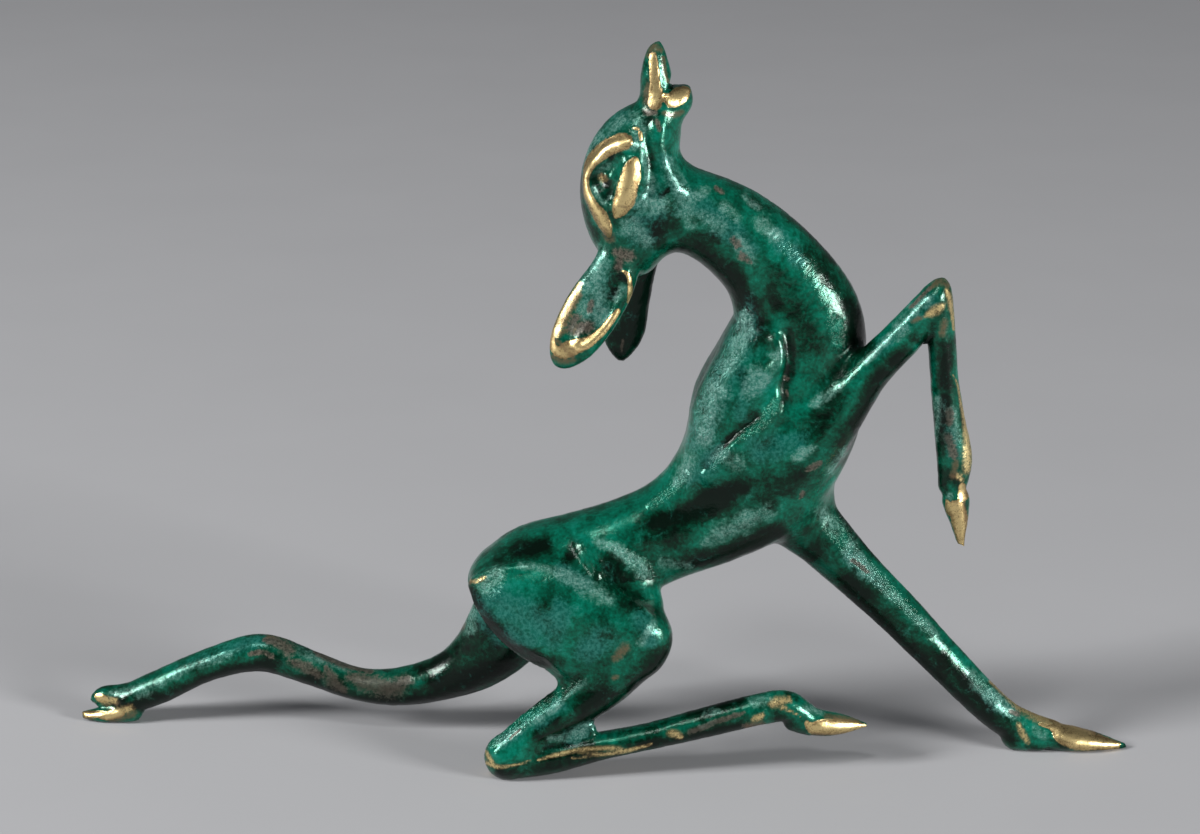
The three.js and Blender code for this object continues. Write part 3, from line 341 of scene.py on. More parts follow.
BODY_MARKS = {
    "film_and_sheen": [
        [(690, 200, 14), (722, 224, 14), (752, 250, 12)],
        [(745, 320, 16), (735, 350, 18), (715, 400, 18), (700, 440, 16)], [(756, 380, 14), (740, 410, 12)],
        [(775, 235, 10), (800, 262, 8)], [(716, 450, 14), (690, 478, 12)],
        [(760, 450, 14), (800, 440, 10)]],
    "deep": [
        [(700, 258, 14), (735, 290, 16), (758, 330, 16)], [(776, 280, 16), (792, 310, 16)],
        [(800, 246, 10), (838, 288, 12), (858, 338, 12)], [(660, 522, 13), (700, 508, 14), (740, 490, 9)],
        [(840, 400, 12), (812, 428, 14)], [(690, 562, 10), (740, 550, 10), (780, 532, 10)]],
    "chip": [
        [(785, 378, 3), (788, 379, 2.5)], [(787, 391, 2), (787, 396, 2.5)],
        [(807, 470, 3), (812, 468, 5), (820, 463, 4)], [(803, 494, 4), (800, 498, 2)],
        [(733, 240, 5), (738, 246, 5)], [(742, 256, 6), (750, 262, 4)], [(716, 188, 4), (722, 192, 4)]],
    "pale_and_highlight": [
        [(700, 216, 8), (720, 226, 9)], [(740, 244, 10), (752, 260, 8)], [(762, 224, 10), (774, 236, 8)],
        [(690, 200, 8), (706, 190, 6)], [(724, 206, 7), (736, 216, 7)], [(758, 208, 4), (744, 196, 4)],
        [(745, 316, 9), (740, 342, 10), (728, 366, 10)], [(718, 390, 14), (710, 416, 14), (704, 440, 12)],
        [(756, 372, 10), (750, 394, 10)], [(780, 352, 8), (770, 372, 6), (760, 386, 5)],
        [(722, 454, 10), (736, 462, 10)], [(690, 460, 10), (680, 480, 9)],
        [(795, 459, 5), (804, 454, 6), (814, 448, 4)], [(716, 534, 9), (738, 524, 12), (768, 510, 10)],
        [(704, 542, 6), (720, 538, 7)], [(600, 541, 6), (620, 551, 7), (640, 566, 9), (648, 582, 9)],
        [(662, 562, 7), (690, 566, 4)], [(836, 528, 10), (822, 512, 8)], [(850, 545, 8), (860, 560, 6)],
        [(844, 450, 4), (830, 470, 5)]],
    "painted_shade": [
        [(644, 525, 8), (668, 521, 9), (692, 513, 10), (710, 501, 11), (724, 494, 10), (738, 485, 6)],
        [(650, 540, 10), (680, 536, 10)], [(712, 508, 10), (705, 505, 8)],
        [(770, 488, 10), (790, 482, 12), (802, 474, 7)], [(748, 488, 10), (770, 500, 8)],
        [(700, 558, 8), (730, 552, 9), (756, 540, 9), (776, 530, 7)], [(820, 550, 10), (810, 556, 10)],
        [(862, 345, 12), (858, 325, 10), (850, 304, 6)], [(805, 330, 12), (795, 345, 10), (815, 345, 10)],
        [(700, 246, 8), (722, 262, 8), (738, 284, 9), (752, 304, 8)], [(776, 306, 6), (770, 290, 6)],
        [(690, 238, 6), (712, 240, 8)], [(796, 216, 5), (816, 236, 5), (836, 262, 4)],
        [(752, 204, 4), (770, 208, 4)], [(788, 366, 2.5), (785, 385, 3), (784, 401, 3)],
        [(757, 417, 1.5), (742, 429, 2.5), (728, 440, 3), (707, 465, 2.5)], [(566, 562, 5), (576, 545, 6)],
        [(612, 564, 8), (632, 580, 8)], [(520, 548, 8), (545, 544, 6)], [(862, 530, 9), (845, 510, 6)],
        [(742, 372, 5), (745, 385, 5)]],
    "rough": [
        [(744, 318, 10), (738, 338, 12), (726, 358, 10), (714, 374, 9), (702, 404, 11), (703, 430, 10)],
        [(722, 452, 9), (714, 466, 7)], [(776, 404, 6), (768, 416, 7), (760, 426, 6), (740, 438, 5)],
        [(612, 548, 6), (640, 566, 10), (648, 584, 9)], [(652, 505, 5), (668, 492, 6), (684, 476, 6)],
        [(834, 322, 8), (838, 344, 8)], [(838, 526, 14), (852, 552, 8)]],
}
KNEELING_MARKS = {
    "brass": [
        [(486, 763, 2), (498, 767, 2.5), (515, 765, 1.5), (530, 761, 1.5)],
        [(538, 760, 1.5), (556, 755, 2.5), (580, 750, 3), (604, 748, 3), (622, 746, 1.5)],
        [(572, 758, 1.5), (600, 755, 2), (630, 750, 2.5), (652, 744, 1.5)],
        [(670, 733, 4), (676, 734, 4.5), (681, 737, 3)], [(486, 750, 1.5), (489, 758, 3), (493, 764, 2.5)],
        [(754, 719, 3.5), (760, 717, 4), (763, 714, 2)], [(772, 704, 5), (778, 702, 7), (785, 700, 5)],
        [(788, 697, 2.5), (791, 702, 2)], [(783, 708, 2.5), (790, 711, 2), (798, 715, 1.5)],
        [(470, 580, 2), (474, 582, 2.5), (484, 578, 3)]],
    "clean": [
        [(800, 716, 1), (806, 722, 2), (812, 728, 6), (824, 727, 9), (840, 727, 9), (856, 727, 7),
         (868, 728, 2)]],
    "stain": [
        [(748, 726, 4), (762, 724, 4)], [(812, 735, 2), (830, 735, 2)],
        [(826, 716, 3), (842, 718, 3), (858, 720, 3)], [(860, 716, 3), (868, 722, 3)],
        [(614, 659, 4), (619, 655, 5), (625, 648, 6)], [(614, 678, 3), (617, 677, 3)],
        [(469, 583, 2), (475, 580, 2)]],
    "chip": [
        [(690, 732, 4), (706, 726, 4), (726, 718, 4), (744, 713, 3)], [(744, 726, 3), (752, 728, 3)],
        [(525, 726, 2), (510, 738, 2)]],
    "film_and_sheen": [
        [(496, 600, 18), (516, 612, 20), (540, 622, 18)], [(530, 638, 12), (510, 628, 10)],
        [(560, 610, 12), (552, 640, 12)], [(600, 640, 16), (586, 652, 12)],
        [(560, 570, 8), (585, 585, 10)], [(640, 620, 10), (650, 640, 8)],
        [(560, 705, 7), (530, 726, 8), (505, 740, 8)], [(570, 738, 8), (590, 728, 7)]],
    "deep": [
        [(606, 698, 20), (570, 722, 13), (545, 736, 7)],
        [(500, 770, 6), (600, 753, 8), (700, 732, 9), (745, 722, 7)],
        [(640, 733, 7), (700, 715, 7), (740, 704, 6)], [(660, 655, 12), (636, 688, 14)],
        [(505, 555, 12), (545, 548, 12)], [(472, 592, 5), (486, 617, 8), (510, 645, 8), (545, 663, 7)],
        [(600, 575, 14), (628, 605, 12)]],
    "pale_and_highlight": [
        [(520, 566, 4), (545, 568, 5), (568, 576, 7), (588, 588, 10), (604, 600, 9)],
        [(486, 586, 9), (498, 574, 9)], [(565, 738, 5), (580, 732, 7), (590, 726, 5)],
        [(548, 738, 3), (560, 738, 4)],
        [(584, 682, 5), (570, 694, 3), (556, 707, 4), (540, 718, 5), (520, 730, 5), (500, 742, 6)],
        [(755, 702, 7), (768, 702, 7)], [(705, 714, 4), (720, 712, 4)], [(700, 727, 3), (715, 722, 3)],
        [(805, 708, 5), (820, 711, 5)], [(655, 622, 4), (640, 642, 5)]],
    "painted_shade": [
        [(470, 588, 4), (476, 598, 5), (484, 614, 6), (494, 628, 6.5), (508, 643, 6.5), (525, 654, 6.5),
         (545, 661, 6), (562, 662, 4)],
        [(632, 692, 7), (652, 674, 6), (668, 652, 5), (673, 636, 3)],
        [(600, 700, 13), (586, 708, 11), (620, 696, 8)], [(612, 708, 10), (596, 716, 8)],
        [(640, 600, 8), (652, 612, 7)], [(536, 738, 3.5), (540, 728, 4), (556, 720, 4)],
        [(545, 747, 2.5), (570, 745, 2.5), (593, 744, 2)],
        [(498, 774, 4), (520, 777, 5), (550, 772, 5), (590, 764, 4), (640, 755, 4), (700, 743, 5),
         (740, 735, 5)],
        [(640, 744, 4), (680, 742, 5), (740, 728, 4)], [(690, 712, 4), (720, 702, 5), (745, 697, 4)],
        [(776, 717, 5), (790, 728, 7), (804, 733, 4)], [(788, 693, 3), (796, 698, 3)],
        [(610, 736, 3), (630, 731, 3)], [(548, 694, 6), (530, 706, 6)]],
    "rough": [
        [(556, 696, 6), (540, 706, 7), (520, 719, 8), (500, 733, 8), (488, 744, 5)],
        [(480, 582, 8), (498, 572, 8), (494, 594, 9)], [(580, 680, 5), (560, 700, 4)]],
}
RAISED_MARKS = {
    "film_and_sheen": [[(930, 300, 9), (905, 324, 8), (880, 350, 7)], [(950, 430, 7), (954, 456, 7)]],
    "deep": [
        [(905, 356, 12), (870, 410, 18), (845, 460, 16)], [(948, 345, 10), (944, 395, 10), (941, 450, 8)]],
    "clean": [
        [(947, 501, 2), (951, 510, 6), (957, 508, 9), (960, 522, 9), (961, 535, 6), (961.5, 545, 4)],
        [(962, 486, 4), (963, 496, 6)]],
    "brass": [
        [(953, 375, 1), (958, 386, 1.5), (960, 400, 1.5), (964, 418, 3), (967, 436, 4.5), (968, 452, 6),
         (967, 470, 5)],
        [(926, 315, 3), (935, 311, 6), (942, 306, 4)],
        [(947, 290, 3), (950, 300, 3.5), (952, 314, 2.5), (954, 330, 1.5)],
        [(958, 476, 4), (962, 480, 3)]],
    "stain": [
        [(932, 287, 3), (940, 281, 5), (948, 285, 4)], [(945, 322, 5), (942, 334, 4)],
        [(956, 462, 4), (953, 476, 4)], [(964, 500, 2), (966, 520, 2)], [(920, 318, 3), (912, 322, 3)]],
    "chip": [
        [(948, 436, 6), (954, 456, 6)], [(950, 412, 5), (950, 424, 5)], [(930, 288, 3), (910, 308, 2)]],
    "pale_and_highlight": [
        [(926, 300, 7), (912, 312, 7), (898, 326, 6), (884, 344, 4), (866, 362, 4)],
        [(840, 388, 5), (815, 405, 6)], [(905, 330, 6), (896, 340, 4)], [(952, 412, 6), (955, 440, 6)],
        [(937, 400, 4), (937, 440, 4)], [(950, 496, 4), (948, 502, 3)]],
    "painted_shade": [
        [(882, 372, 8), (868, 398, 9), (856, 424, 8)], [(905, 350, 6), (890, 362, 8)],
        [(944, 360, 8), (946, 384, 6)], [(945, 400, 5), (942, 420, 4)],
        [(934, 450, 4), (940, 475, 5), (943, 490, 5)], [(948, 476, 5), (956, 482, 4)],
        [(914, 338, 5), (924, 342, 5)]],
}
PLANTED_MARKS = {
    "film_and_sheen": [[(990, 694, 9), (1010, 712, 8)], [(850, 556, 8), (880, 584, 7)]],
    "deep": [[(846, 572, 20), (880, 612, 18), (930, 662, 15), (980, 708, 13), (1012, 736, 9)]],
    "clean": [
        [(1040, 724, 2), (1052, 728, 3), (1062, 736, 8), (1078, 740, 11), (1096, 742, 9), (1112, 745, 6),
         (1122, 746, 2)],
        [(1052, 718, 5), (1070, 726, 9), (1088, 732, 8)]],
    "brass": [
        [(990, 682, 2), (1004, 692, 4), (1020, 704, 7), (1036, 714, 8), (1050, 722, 6)],
        [(1018, 724, 3), (1024, 736, 4), (1028, 742, 3)]],
    "stain": [
        [(1006, 690, 3), (1024, 698, 3), (1044, 708, 3)], [(1066, 722, 4), (1084, 728, 4), (1100, 735, 3)],
        [(1054, 712, 3), (1060, 718, 3)]],
    "chip": [[(1010, 712, 3), (1018, 714, 4)], [(852, 560, 3), (868, 572, 3)]],
    "pale_and_highlight": [
        [(848, 552, 8), (870, 574, 9), (894, 596, 6), (918, 620, 4), (945, 648, 3)],
        [(970, 674, 7), (984, 688, 9), (1000, 702, 9), (1014, 716, 7)], [(1044, 736, 5), (1036, 730, 5)],
        [(920, 622, 7), (936, 634, 5)]],
    "painted_shade": [
        [(860, 532, 5), (880, 556, 5)], [(850, 580, 8), (866, 596, 6)],
        [(846, 592, 9), (880, 624, 7), (920, 664, 7), (960, 702, 7), (990, 728, 7), (1012, 742, 5)],
        [(944, 658, 6), (968, 684, 6), (990, 708, 5)], [(1056, 742, 4), (1066, 750, 4)],
        [(1030, 748, 4), (1060, 752, 3)]],
    "rough": [
        [(846, 548, 9), (870, 572, 9), (900, 600, 7), (930, 632, 5)], [(976, 680, 7), (994, 696, 8)]],
}
STRETCHED_MARKS = {
    "film_and_sheen": [[(180, 670, 6), (230, 650, 7), (270, 640, 6)], [(480, 615, 10), (500, 640, 8)]],
    "deep": [
        [(510, 650, 22), (440, 690, 22), (370, 698, 17), (310, 684, 14), (250, 668, 9), (190, 686, 9),
         (140, 702, 8)],
        [(485, 628, 14), (440, 668, 12)]],
    "clean": [
        [(97, 696, 3), (101, 698, 5), (106, 700, 3)],
        [(76, 716, 1), (84, 715, 4), (96, 714, 4), (108, 716, 5), (122, 713, 4)]],
    "brass": [[(104, 700, 5), (116, 701, 4)], [(112, 714, 6), (130, 708, 5)]],
    "stain": [
        [(86, 719, 2), (96, 718, 2)], [(104, 706, 1.5), (118, 704, 1.5)], [(110, 722, 3), (134, 714, 4)],
        [(268, 636, 3), (280, 634, 4), (296, 640, 3)]],
    "chip": [
        [(264, 640, 3), (276, 642, 8), (290, 650, 9)], [(250, 654, 3), (262, 652, 4), (272, 656, 4)],
        [(292, 662, 6), (308, 668, 7), (318, 674, 6)], [(326, 668, 4), (334, 682, 9), (344, 690, 5)],
        [(352, 678, 9), (372, 684, 13), (392, 688, 13), (406, 680, 9)],
        [(316, 652, 4), (340, 664, 4), (372, 672, 3)], [(462, 628, 4), (464, 622, 3)]],
    "pale_and_highlight": [
        [(112, 694, 5), (150, 686, 5), (190, 670, 4), (230, 656, 5)], [(136, 696, 5), (150, 692, 5)],
        [(300, 652, 6), (330, 662, 6), (352, 668, 5)], [(472, 606, 6), (470, 630, 8)]],
    "painted_shade": [
        [(126, 706, 3), (150, 706, 6), (190, 690, 5), (230, 672, 5), (270, 672, 5)],
        [(300, 684, 7), (330, 694, 6), (370, 702, 6), (410, 702, 6), (450, 696, 7), (470, 690, 7)],
        [(308, 678, 7), (320, 678, 5)], [(440, 684, 9), (480, 676, 9), (510, 666, 7)],
        [(420, 668, 5), (444, 656, 5)], [(280, 660, 6), (262, 664, 6)], [(130, 692, 3), (118, 706, 2)]],
}
REGIONS = [
    ((-8, -9, 59), (12.5, 9, 90), 0.0, HEAD_MARKS),
    ((-8, -9, 48), (6, 0, 64.5), -4.5, NEAR_EAR_MARKS),
    ((-4, 0, 46), (9, 9, 65), 3.5, FAR_EAR_MARKS),
    ((-14, -10, 24), (35, 10, 79), 0.0, BODY_MARKS),
    ((-18, -12, 0), (34, -2, 29), -7.0, KNEELING_MARKS),
    ((24, -9, 26), (46, 0, 63), -5.0, RAISED_MARKS),
    ((25, -5, 0), (66, 6, 32), 0.8, PLANTED_MARKS),
    ((-66, 1, 0), (-8, 12, 24), 7.6, STRETCHED_MARKS),
]

# The kinds of marks, how many half widths away a mark still counts, and how quickly the near
# side's marks give way to the far side's where the surface turns away
# Of these kinds, dark and deep are painted shade, pale is partly painted highlight, and film is partly
# painted sheen
KINDS = ("clean", "brass", "stain", "chip", "pale_and_highlight", "film_and_sheen", "deep", "painted_shade", "rough")
MARK_LIMIT = 2.5
FACING_BLEND = 3

# Small relief of the casting and its patina, in millimetres. A noise is given by its scale
# per millimetre, its seed and its octaves.
SKIN = 0.035
SKIN_NOISE = (0.9, 1, 3)
HOCK_LUMPS = [(-3.6, -8.4, 12.4), (-6.5, -8.6, 10.2), (-9.6, -8.6, 8.0), (-12.2, -9.0, 5.4)]
LUMP = 0.25
LUMP_NOISE = (1.4, 2, 2)
LUMP_FLOOR = -0.2
LUMP_REACH = 1.6
NECK_RIPPLES = [(19.6, -4.4, 64.7), (22.8, -4.8, 60.6), (25.4, -5.1, 55.9)]
RIPPLE = 0.08
RIPPLE_PITCH = 0.75
RIPPLE_ALONG = (0.62, 0.0, -0.78)
RIPPLE_WANDER = 1.5
RIPPLE_REACH = 2.4
PLATE = 0.14
PLATE_EDGE = (-0.1, 0.25)
PLATES_ABOVE = 60

# Rounds of spreading that the bend of the surface is measured against, and smoothed by
BEND_ROUNDS = 12
BEND_SOFTENING = 3

# The patina's noises: scale per millimetre, detail, roughness, distortion
CLOUDS = (0.16, 4.0, 0.6, 0.6)
BLOTS = (0.55, 5.0, 0.65, 0.5)
GRAIN = (2.6, 3.0, 0.6, 0.0)
DUST = (7.0, 2.0, 0.6, 0.0)

# The emerald enamel, from thick to thin. A pair is where a smooth step begins and ends, and
# two more numbers are what it leads from and to.
ENAMEL = [
    (0.29, (0.0, 0.005, 0.002, 1)), (0.38, (0.0, 0.022, 0.010, 1)), (0.46, (0.0, 0.062, 0.034, 1)),
    (0.54, (0.0, 0.118, 0.070, 1)), (0.63, (0.002, 0.183, 0.122, 1)),
]
ENAMEL_GRAIN = 0.22
# How much painted shade the dark and deep marks lay into the enamel, and how much darker it is where it
# pools in hollows
PAINTED_SHADE_OF_DARK_MARKS = (-0.9, 0.8, 0.0, 0.13)
PAINTED_SHADE_OF_DEEP_MARKS = (-0.5, 0.9, 0.0, 0.12)
THICK_IN_HOLLOWS = (-0.10, 0.02, 0.07, 0.0)

# A thin bluish film, in places painted sheen, and pale worn patina, in places painted highlight along lit
# ridges
CLOUDY_GRAIN = 0.38
SHADES = (0.38, 0.62)
FILM_AND_SHEEN_LEVEL = (-0.8, 0.8, 0.0, 0.22)
FILM_AND_SHEEN_EDGE = (0.54, 0.78)
FILM_AND_SHEEN_COVER = 0.7
FILM_AND_SHEEN_COLOURS = ((0.003, 0.080, 0.064, 1), (0.025, 0.15, 0.125, 1))
PALE_AND_HIGHLIGHT_LEVEL = (-1.0, 0.9, 0.0, 0.27)
PALE_AND_HIGHLIGHT_EDGE = (0.60, 0.94)
PALE_AND_HIGHLIGHT_COVER = 0.85
PALE_AND_HIGHLIGHT_COLOURS = ((0.04, 0.19, 0.145, 1), (0.18, 0.31, 0.265, 1))

# Brown chips. What is ragged is given by the share of the grain in it and by its size.
CHIP_RAGGED = (0.45, 3.0)
CHIP_EDGE = (-0.05, 0.7)
CHIP_COVER = 0.85
CHIP_SHADES = (0.35, 0.65)
CHIP_COLOURS = ((0.020, 0.015, 0.011, 1), (0.14, 0.115, 0.09, 1))
# Painted shade on the chips where the deep marks lie: how strongly, and its colour
CHIP_PAINTED_SHADE_LEVEL = (-0.5, 0.5, 0.0, 0.7)
CHIP_PAINTED_SHADE_COLOUR = (0.030, 0.026, 0.019, 1)

# Bare brass, rubbed or clean, and the brown stains on it
BRASS_RAGGED = (0.5, 2.1)
RUBBED_EDGE = (-0.3, 1.0)
RUBBED_GRAIN = (0.38, 0.58, 0.55, 1.0)
CLEAN_RAGGED = (0.5, 0.9)
CLEAN_EDGE = (0.0, 0.22)
RUBBED_SHINE = 0.7
LEVEL_SHINE = 0.5
BRASS_CLOUDS = 0.6
SPECK_GRAIN = 0.4
SPECKS = (0.32, 0.52, -0.32, 0.0)
BRASS_SHADES = (0.42, 0.84)
BRASS_COLOURS = ((0.30, 0.19, 0.085, 1), (0.80, 0.62, 0.29, 1))
STAIN_RAGGED = (0.5, 2.8)
STAIN_EDGE = (-0.3, 0.9)
STAIN_GRAIN = (0.38, 0.60, 0.6, 1.0)
STAIN_COVER = 0.8
STAIN_COLOUR = (0.11, 0.066, 0.034, 1)

# How rough and how metallic each layer is
ENAMEL_ROUGHNESS = 0.19
WORN_ROUGHNESS = 0.34
BARE_ROUGHNESS = 0.36
CRINKLE_EDGE = (-0.4, 0.6)
CRINKLE_COVER = 0.7
CRINKLE_ROUGHNESS = 0.14
ENAMEL_METALLIC = 0.30
STAIN_METALLIC = 0.7
SPECULAR = 0.36

# The patina's own fine relief, in millimetres before its strength
BUMP_STRENGTH = 0.7
BLOT_BUMP = 0.10
GRAIN_BUMP = 0.04
CRINKLE_BUMP = 0.45
DUST_BUMP = 0.012
BARE_DROP = 0.05

# The studio, in metres and watts. A light is its name, place, size and power.
FLOOR_SIZE = 6.0
FLOOR_NOISE = (30.0, 2.0, 0.55, 0.0)
FLOOR_COLOURS = ((0.35, 0.35, 0.36, 1), (0.37, 0.37, 0.38, 1))
FLOOR_ROUGHNESS = 0.9
LIGHT_TARGET = (0.0, 0.0, 0.035)
LIGHTS = [
    ("left", (-0.97, -0.35, 0.54), (0.30, 0.30), 17.0),
    ("right", (0.95, -0.60, 0.27), (0.32, 0.24), 17.0),
    ("top", (-0.24, -0.52, 1.03), (0.20, 0.16), 2.5),
]
SKY_COLOUR = (0.80, 0.84, 0.90, 1)
SKY_STRENGTH = 0.12


def curve(stations, steps):
    """A smooth curve through every number of the stations."""
    s = np.asarray(stations, float)
    ends = np.vstack([2 * s[0] - s[1], s, 2 * s[-1] - s[-2]])
    rows = []
    for i in range(1, len(ends) - 2):
        p0, p1, p2, p3 = ends[i - 1:i + 3]
        for t in np.arange(steps) / steps:
            rows.append(0.5 * (2 * p1 + (p2 - p0) * t + (2 * p0 - 5 * p1 + 4 * p2 - p3) * t ** 2
                               + (3 * p1 - p0 - 3 * p2 + p3) * t ** 3))
    rows.append(s[-1])
    rows = np.array(rows)
    rows[:, 3:] = np.maximum(rows[:, 3:], LEAST_RADIUS)
    return rows


def smooth_line(line):
    """The points of a line, with more between them where there are more than two."""
    return curve(line, LINE_STEPS) if len(line) > 2 else np.asarray(line, float)


def away(points, low, high):
    """Distance of each point from a box, zero inside it."""
    gap = np.maximum(np.maximum(low - points, points - high), 0)
    return np.sqrt((gap ** 2).sum(1))


def pieces(points, rows):
    """Each straight piece of a curve: its ends, and how far along it and off it the points lie."""
    size = points.shape[1]
    for a, b in zip(rows[:-1], rows[1:]):
        axis = b[:size] - a[:size]
        off = points - a[:size]
        t = np.clip(off @ axis / (axis @ axis), 0, 1)
        yield a, b, t, off - t[:, None] * axis


def limb_distance(points, stations, power):
    """Distance to one limb, below zero inside. It is rough beyond REACH."""
    rows = curve(stations, CURVE_STEPS)
    radius = rows[:, 3:5].max(1)[:, None]
    out = away(points, (rows[:, :3] - radius).min(0), (rows[:, :3] + radius).max(0)) + 1
    near = np.where(out < REACH + 1)[0]
    if len(near) == 0:
        return out
    best = np.full(len(near), FAR)
    for a, b, t, off in pieces(points[near], rows):
        axis = b[:3] - a[:3]
        side = np.array([0.0, 1.0, 0.0]) - axis * axis[1] / (axis @ axis)
        side /= np.linalg.norm(side)
        v2 = (off @ side) ** 2
        r2 = (off ** 2).sum(1)
        u2 = np.maximum(r2 - v2, 0)
        deep = a[3] + t * (b[3] - a[3])
        wide = a[4] + t * (b[4] - a[4])
        k = ((u2 / deep ** 2) ** (power / 2) + (v2 / wide ** 2) ** (power / 2)) ** (1 / power)
        r = np.sqrt(r2)
        np.minimum(best, r - r / np.maximum(k, 1e-5), out=best)
    out[near] = best
    return out


def join(a, b, softness):
    """Two forms as one, with a joint that is softer the higher the number."""
    if softness <= 0:
        return np.minimum(a, b)
    h = np.clip(0.5 + 0.5 * (b - a) / softness, 0, 1)
    return b + (a - b) * h - softness * h * (1 - h)


def cut(a, b, softness):
    """The first form without the second."""
    return -join(-a, b, softness)


def line_distance(points, line, limit):
    """Distance to a smooth line, and limit where it is further than that."""
    rows = smooth_line(line)
    out = np.full(len(points), float(limit))
    near = np.where(away(points, rows.min(0), rows.max(0)) < limit)[0]
    if len(near) == 0:
        return out
    for _, _, _, off in pieces(points[near], rows):
        out[near] = np.minimum(out[near], np.sqrt((off ** 2).sum(1)))
    return out


def near_side(points):
    """The points with both sides of the head laid over the near one."""
    folded = points.copy()
    folded[:, 1] = -np.abs(folded[:, 1])
    return folded


def carve(d, points, lines):
    """Raises or cuts the surface along lines, with a soft profile across each."""
    for width, height, line in lines:
        across = line_distance(points, line, CARVE_REACH * width) / width
        d = d - height * np.exp(-across ** 2)
    return d


def beyond_bevel(points):
    """How far each point lies outside the bevel's cone and rim."""
    x, y, z = points.T
    front = BEVEL_FRONT_FALL * np.maximum(x - BEVEL_FRONT, 0)
    back = np.maximum(y - BEVEL_BACK, 0)
    top = BEVEL_TOP_FALL * np.maximum(z - BEVEL_TOP, 0)
    radius = np.hypot(x - BEVEL_X, z - BEVEL_Z) - front - back - top
    cone = (radius - BEVEL_RADIUS - (y - BEVEL_AT_Y)) * math.sqrt(0.5)
    return np.maximum(cone, radius - BEVEL_RIM)


def distance(points):
    """The whole figure as one distance, below zero in the bronze."""
    d = np.full(len(points), FAR)
    for stations, power, softness in LIMBS:
        d = join(d, limb_distance(points, stations, power), softness)
        if stations is THIGH:
            d = cut(d, -beyond_bevel(points), BEVEL_SOFTNESS)
    for stations, power, softness in HOLLOWS:
        d = cut(d, limb_distance(points, stations, power), softness)
    d = carve(d, near_side(points), FACE)
    d = carve(d, points, RELIEF)
    return np.maximum(d, -points[:, 2])


def vertex_values(mesh, name):
    """Three numbers of every vertex, such as its place or its normal."""
    flat = np.empty(len(mesh.vertices) * 3, np.float32)
    mesh.vertices.foreach_get(name, flat)
    return flat.reshape(-1, 3).astype(float)


def positions(mesh):
    return vertex_values(mesh, "co") / MM


def normals(mesh):
    return vertex_values(mesh, "normal")


def set_positions(mesh, points):
    mesh.vertices.foreach_set("co", (points * MM).astype(np.float32).ravel())
    mesh.update()


def settle(points):
    """Moves the points along the slope of the distance onto the surface."""
    for _ in range(SETTLE_ROUNDS):
        d = distance(points)
        slope = [(distance(points + SLOPE_STEP * axis) - d) / SLOPE_STEP for axis in np.eye(3)]
        slope = np.stack(slope, 1)
        size2 = np.maximum((slope ** 2).sum(1), LEAST_SLOPE)
        move = np.clip(d / np.sqrt(size2), -LONGEST_MOVE, LONGEST_MOVE) / np.sqrt(size2)
        points = points - slope * move[:, None]
    return points


def in_box(place, low, high):
    return all(low[i] <= place[i] <= high[i] for i in range(3))


def refine(mesh, low, high):
    """Splits the faces inside a box in four."""
    whole = bmesh.new()
    whole.from_mesh(mesh)
    low = Vector(low) * MM
    high = Vector(high) * MM
    faces = [face for face in whole.faces if in_box(face.calc_center_median(), low, high)]
    edges = sorted({edge for face in faces for edge in face.edges}, key=lambda edge: edge.index)
    bmesh.ops.subdivide_edges(whole, edges=edges, cuts=1, use_grid_fill=True)
    whole.to_mesh(mesh)
    whole.free()


def add_object(name, data):
    added = bpy.data.objects.new(name, data)
    bpy.context.scene.collection.objects.link(added)
    return added


def fine_mesh(node):
    """The solid's mesh laid out again in small even faces, on the exact surface."""
    rough = add_object("rough", node.data.copy())
    remesh = rough.modifiers.new("even", "REMESH")
    remesh.mode = "VOXEL"
    remesh.voxel_size = VOXEL * MM
    evaluated = rough.evaluated_get(bpy.context.evaluated_depsgraph_get())
    mesh = bpy.data.meshes.new_from_object(evaluated)
    bpy.data.objects.remove(rough)
    mesh.name = "fawn_surface"
    refine(mesh, FINE_LOW, FINE_HIGH)
    set_positions(mesh, settle(positions(mesh)))
    return mesh


def field_noise(points, scale, seed, octaves):
    """Even noise between about -1 and 1 at each point."""
    shift = Vector((seed * 17.3, seed * 5.1, seed * 9.7))
    return np.array([noise.fractal(Vector(p) * scale + shift, 1.0, 2.0, octaves) for p in points])


def smooth_step(value, low, high):
    t = np.clip((value - low) / (high - low), 0, 1)
    return t * t * (3 - 2 * t)


def nearness(points, line, reach):
    """1 on a line, 0 at its reach and beyond."""
    return 1 - line_distance(points, line, reach) / reach


def line_levels(places, lines):
    """1 on the middle of the flat lines, 0 at their half width, below zero outside."""
    best = np.full(len(places), MARK_LIMIT)
    for line in lines:
        rows = smooth_line(line)
        gap = away(places, rows[:, :2].min(0), rows[:, :2].max(0))
        near = np.where(gap < MARK_LIMIT * rows[:, 2].max())[0]
        for a, b, t, off in pieces(places[near], rows):
            wide = a[2] + t * (b[2] - a[2])
            best[near] = np.minimum(best[near], np.sqrt((off ** 2).sum(1)) / wide)
    return 1 - best


def seen(points):
    """Where each point lies in the photograph, in its pixels: right and down."""
    q = points - np.array(CAMERA_PLACE) / MM
    scale = PHOTO_SIZE[0] * LENS / SENSOR / (q @ CAMERA_AHEAD)
    right = PHOTO_SIZE[0] / 2 + scale * q[:, 0]
    down = PHOTO_SIZE[1] / 2 - scale * (q @ CAMERA_UP)
    return np.stack([right, down], 1)


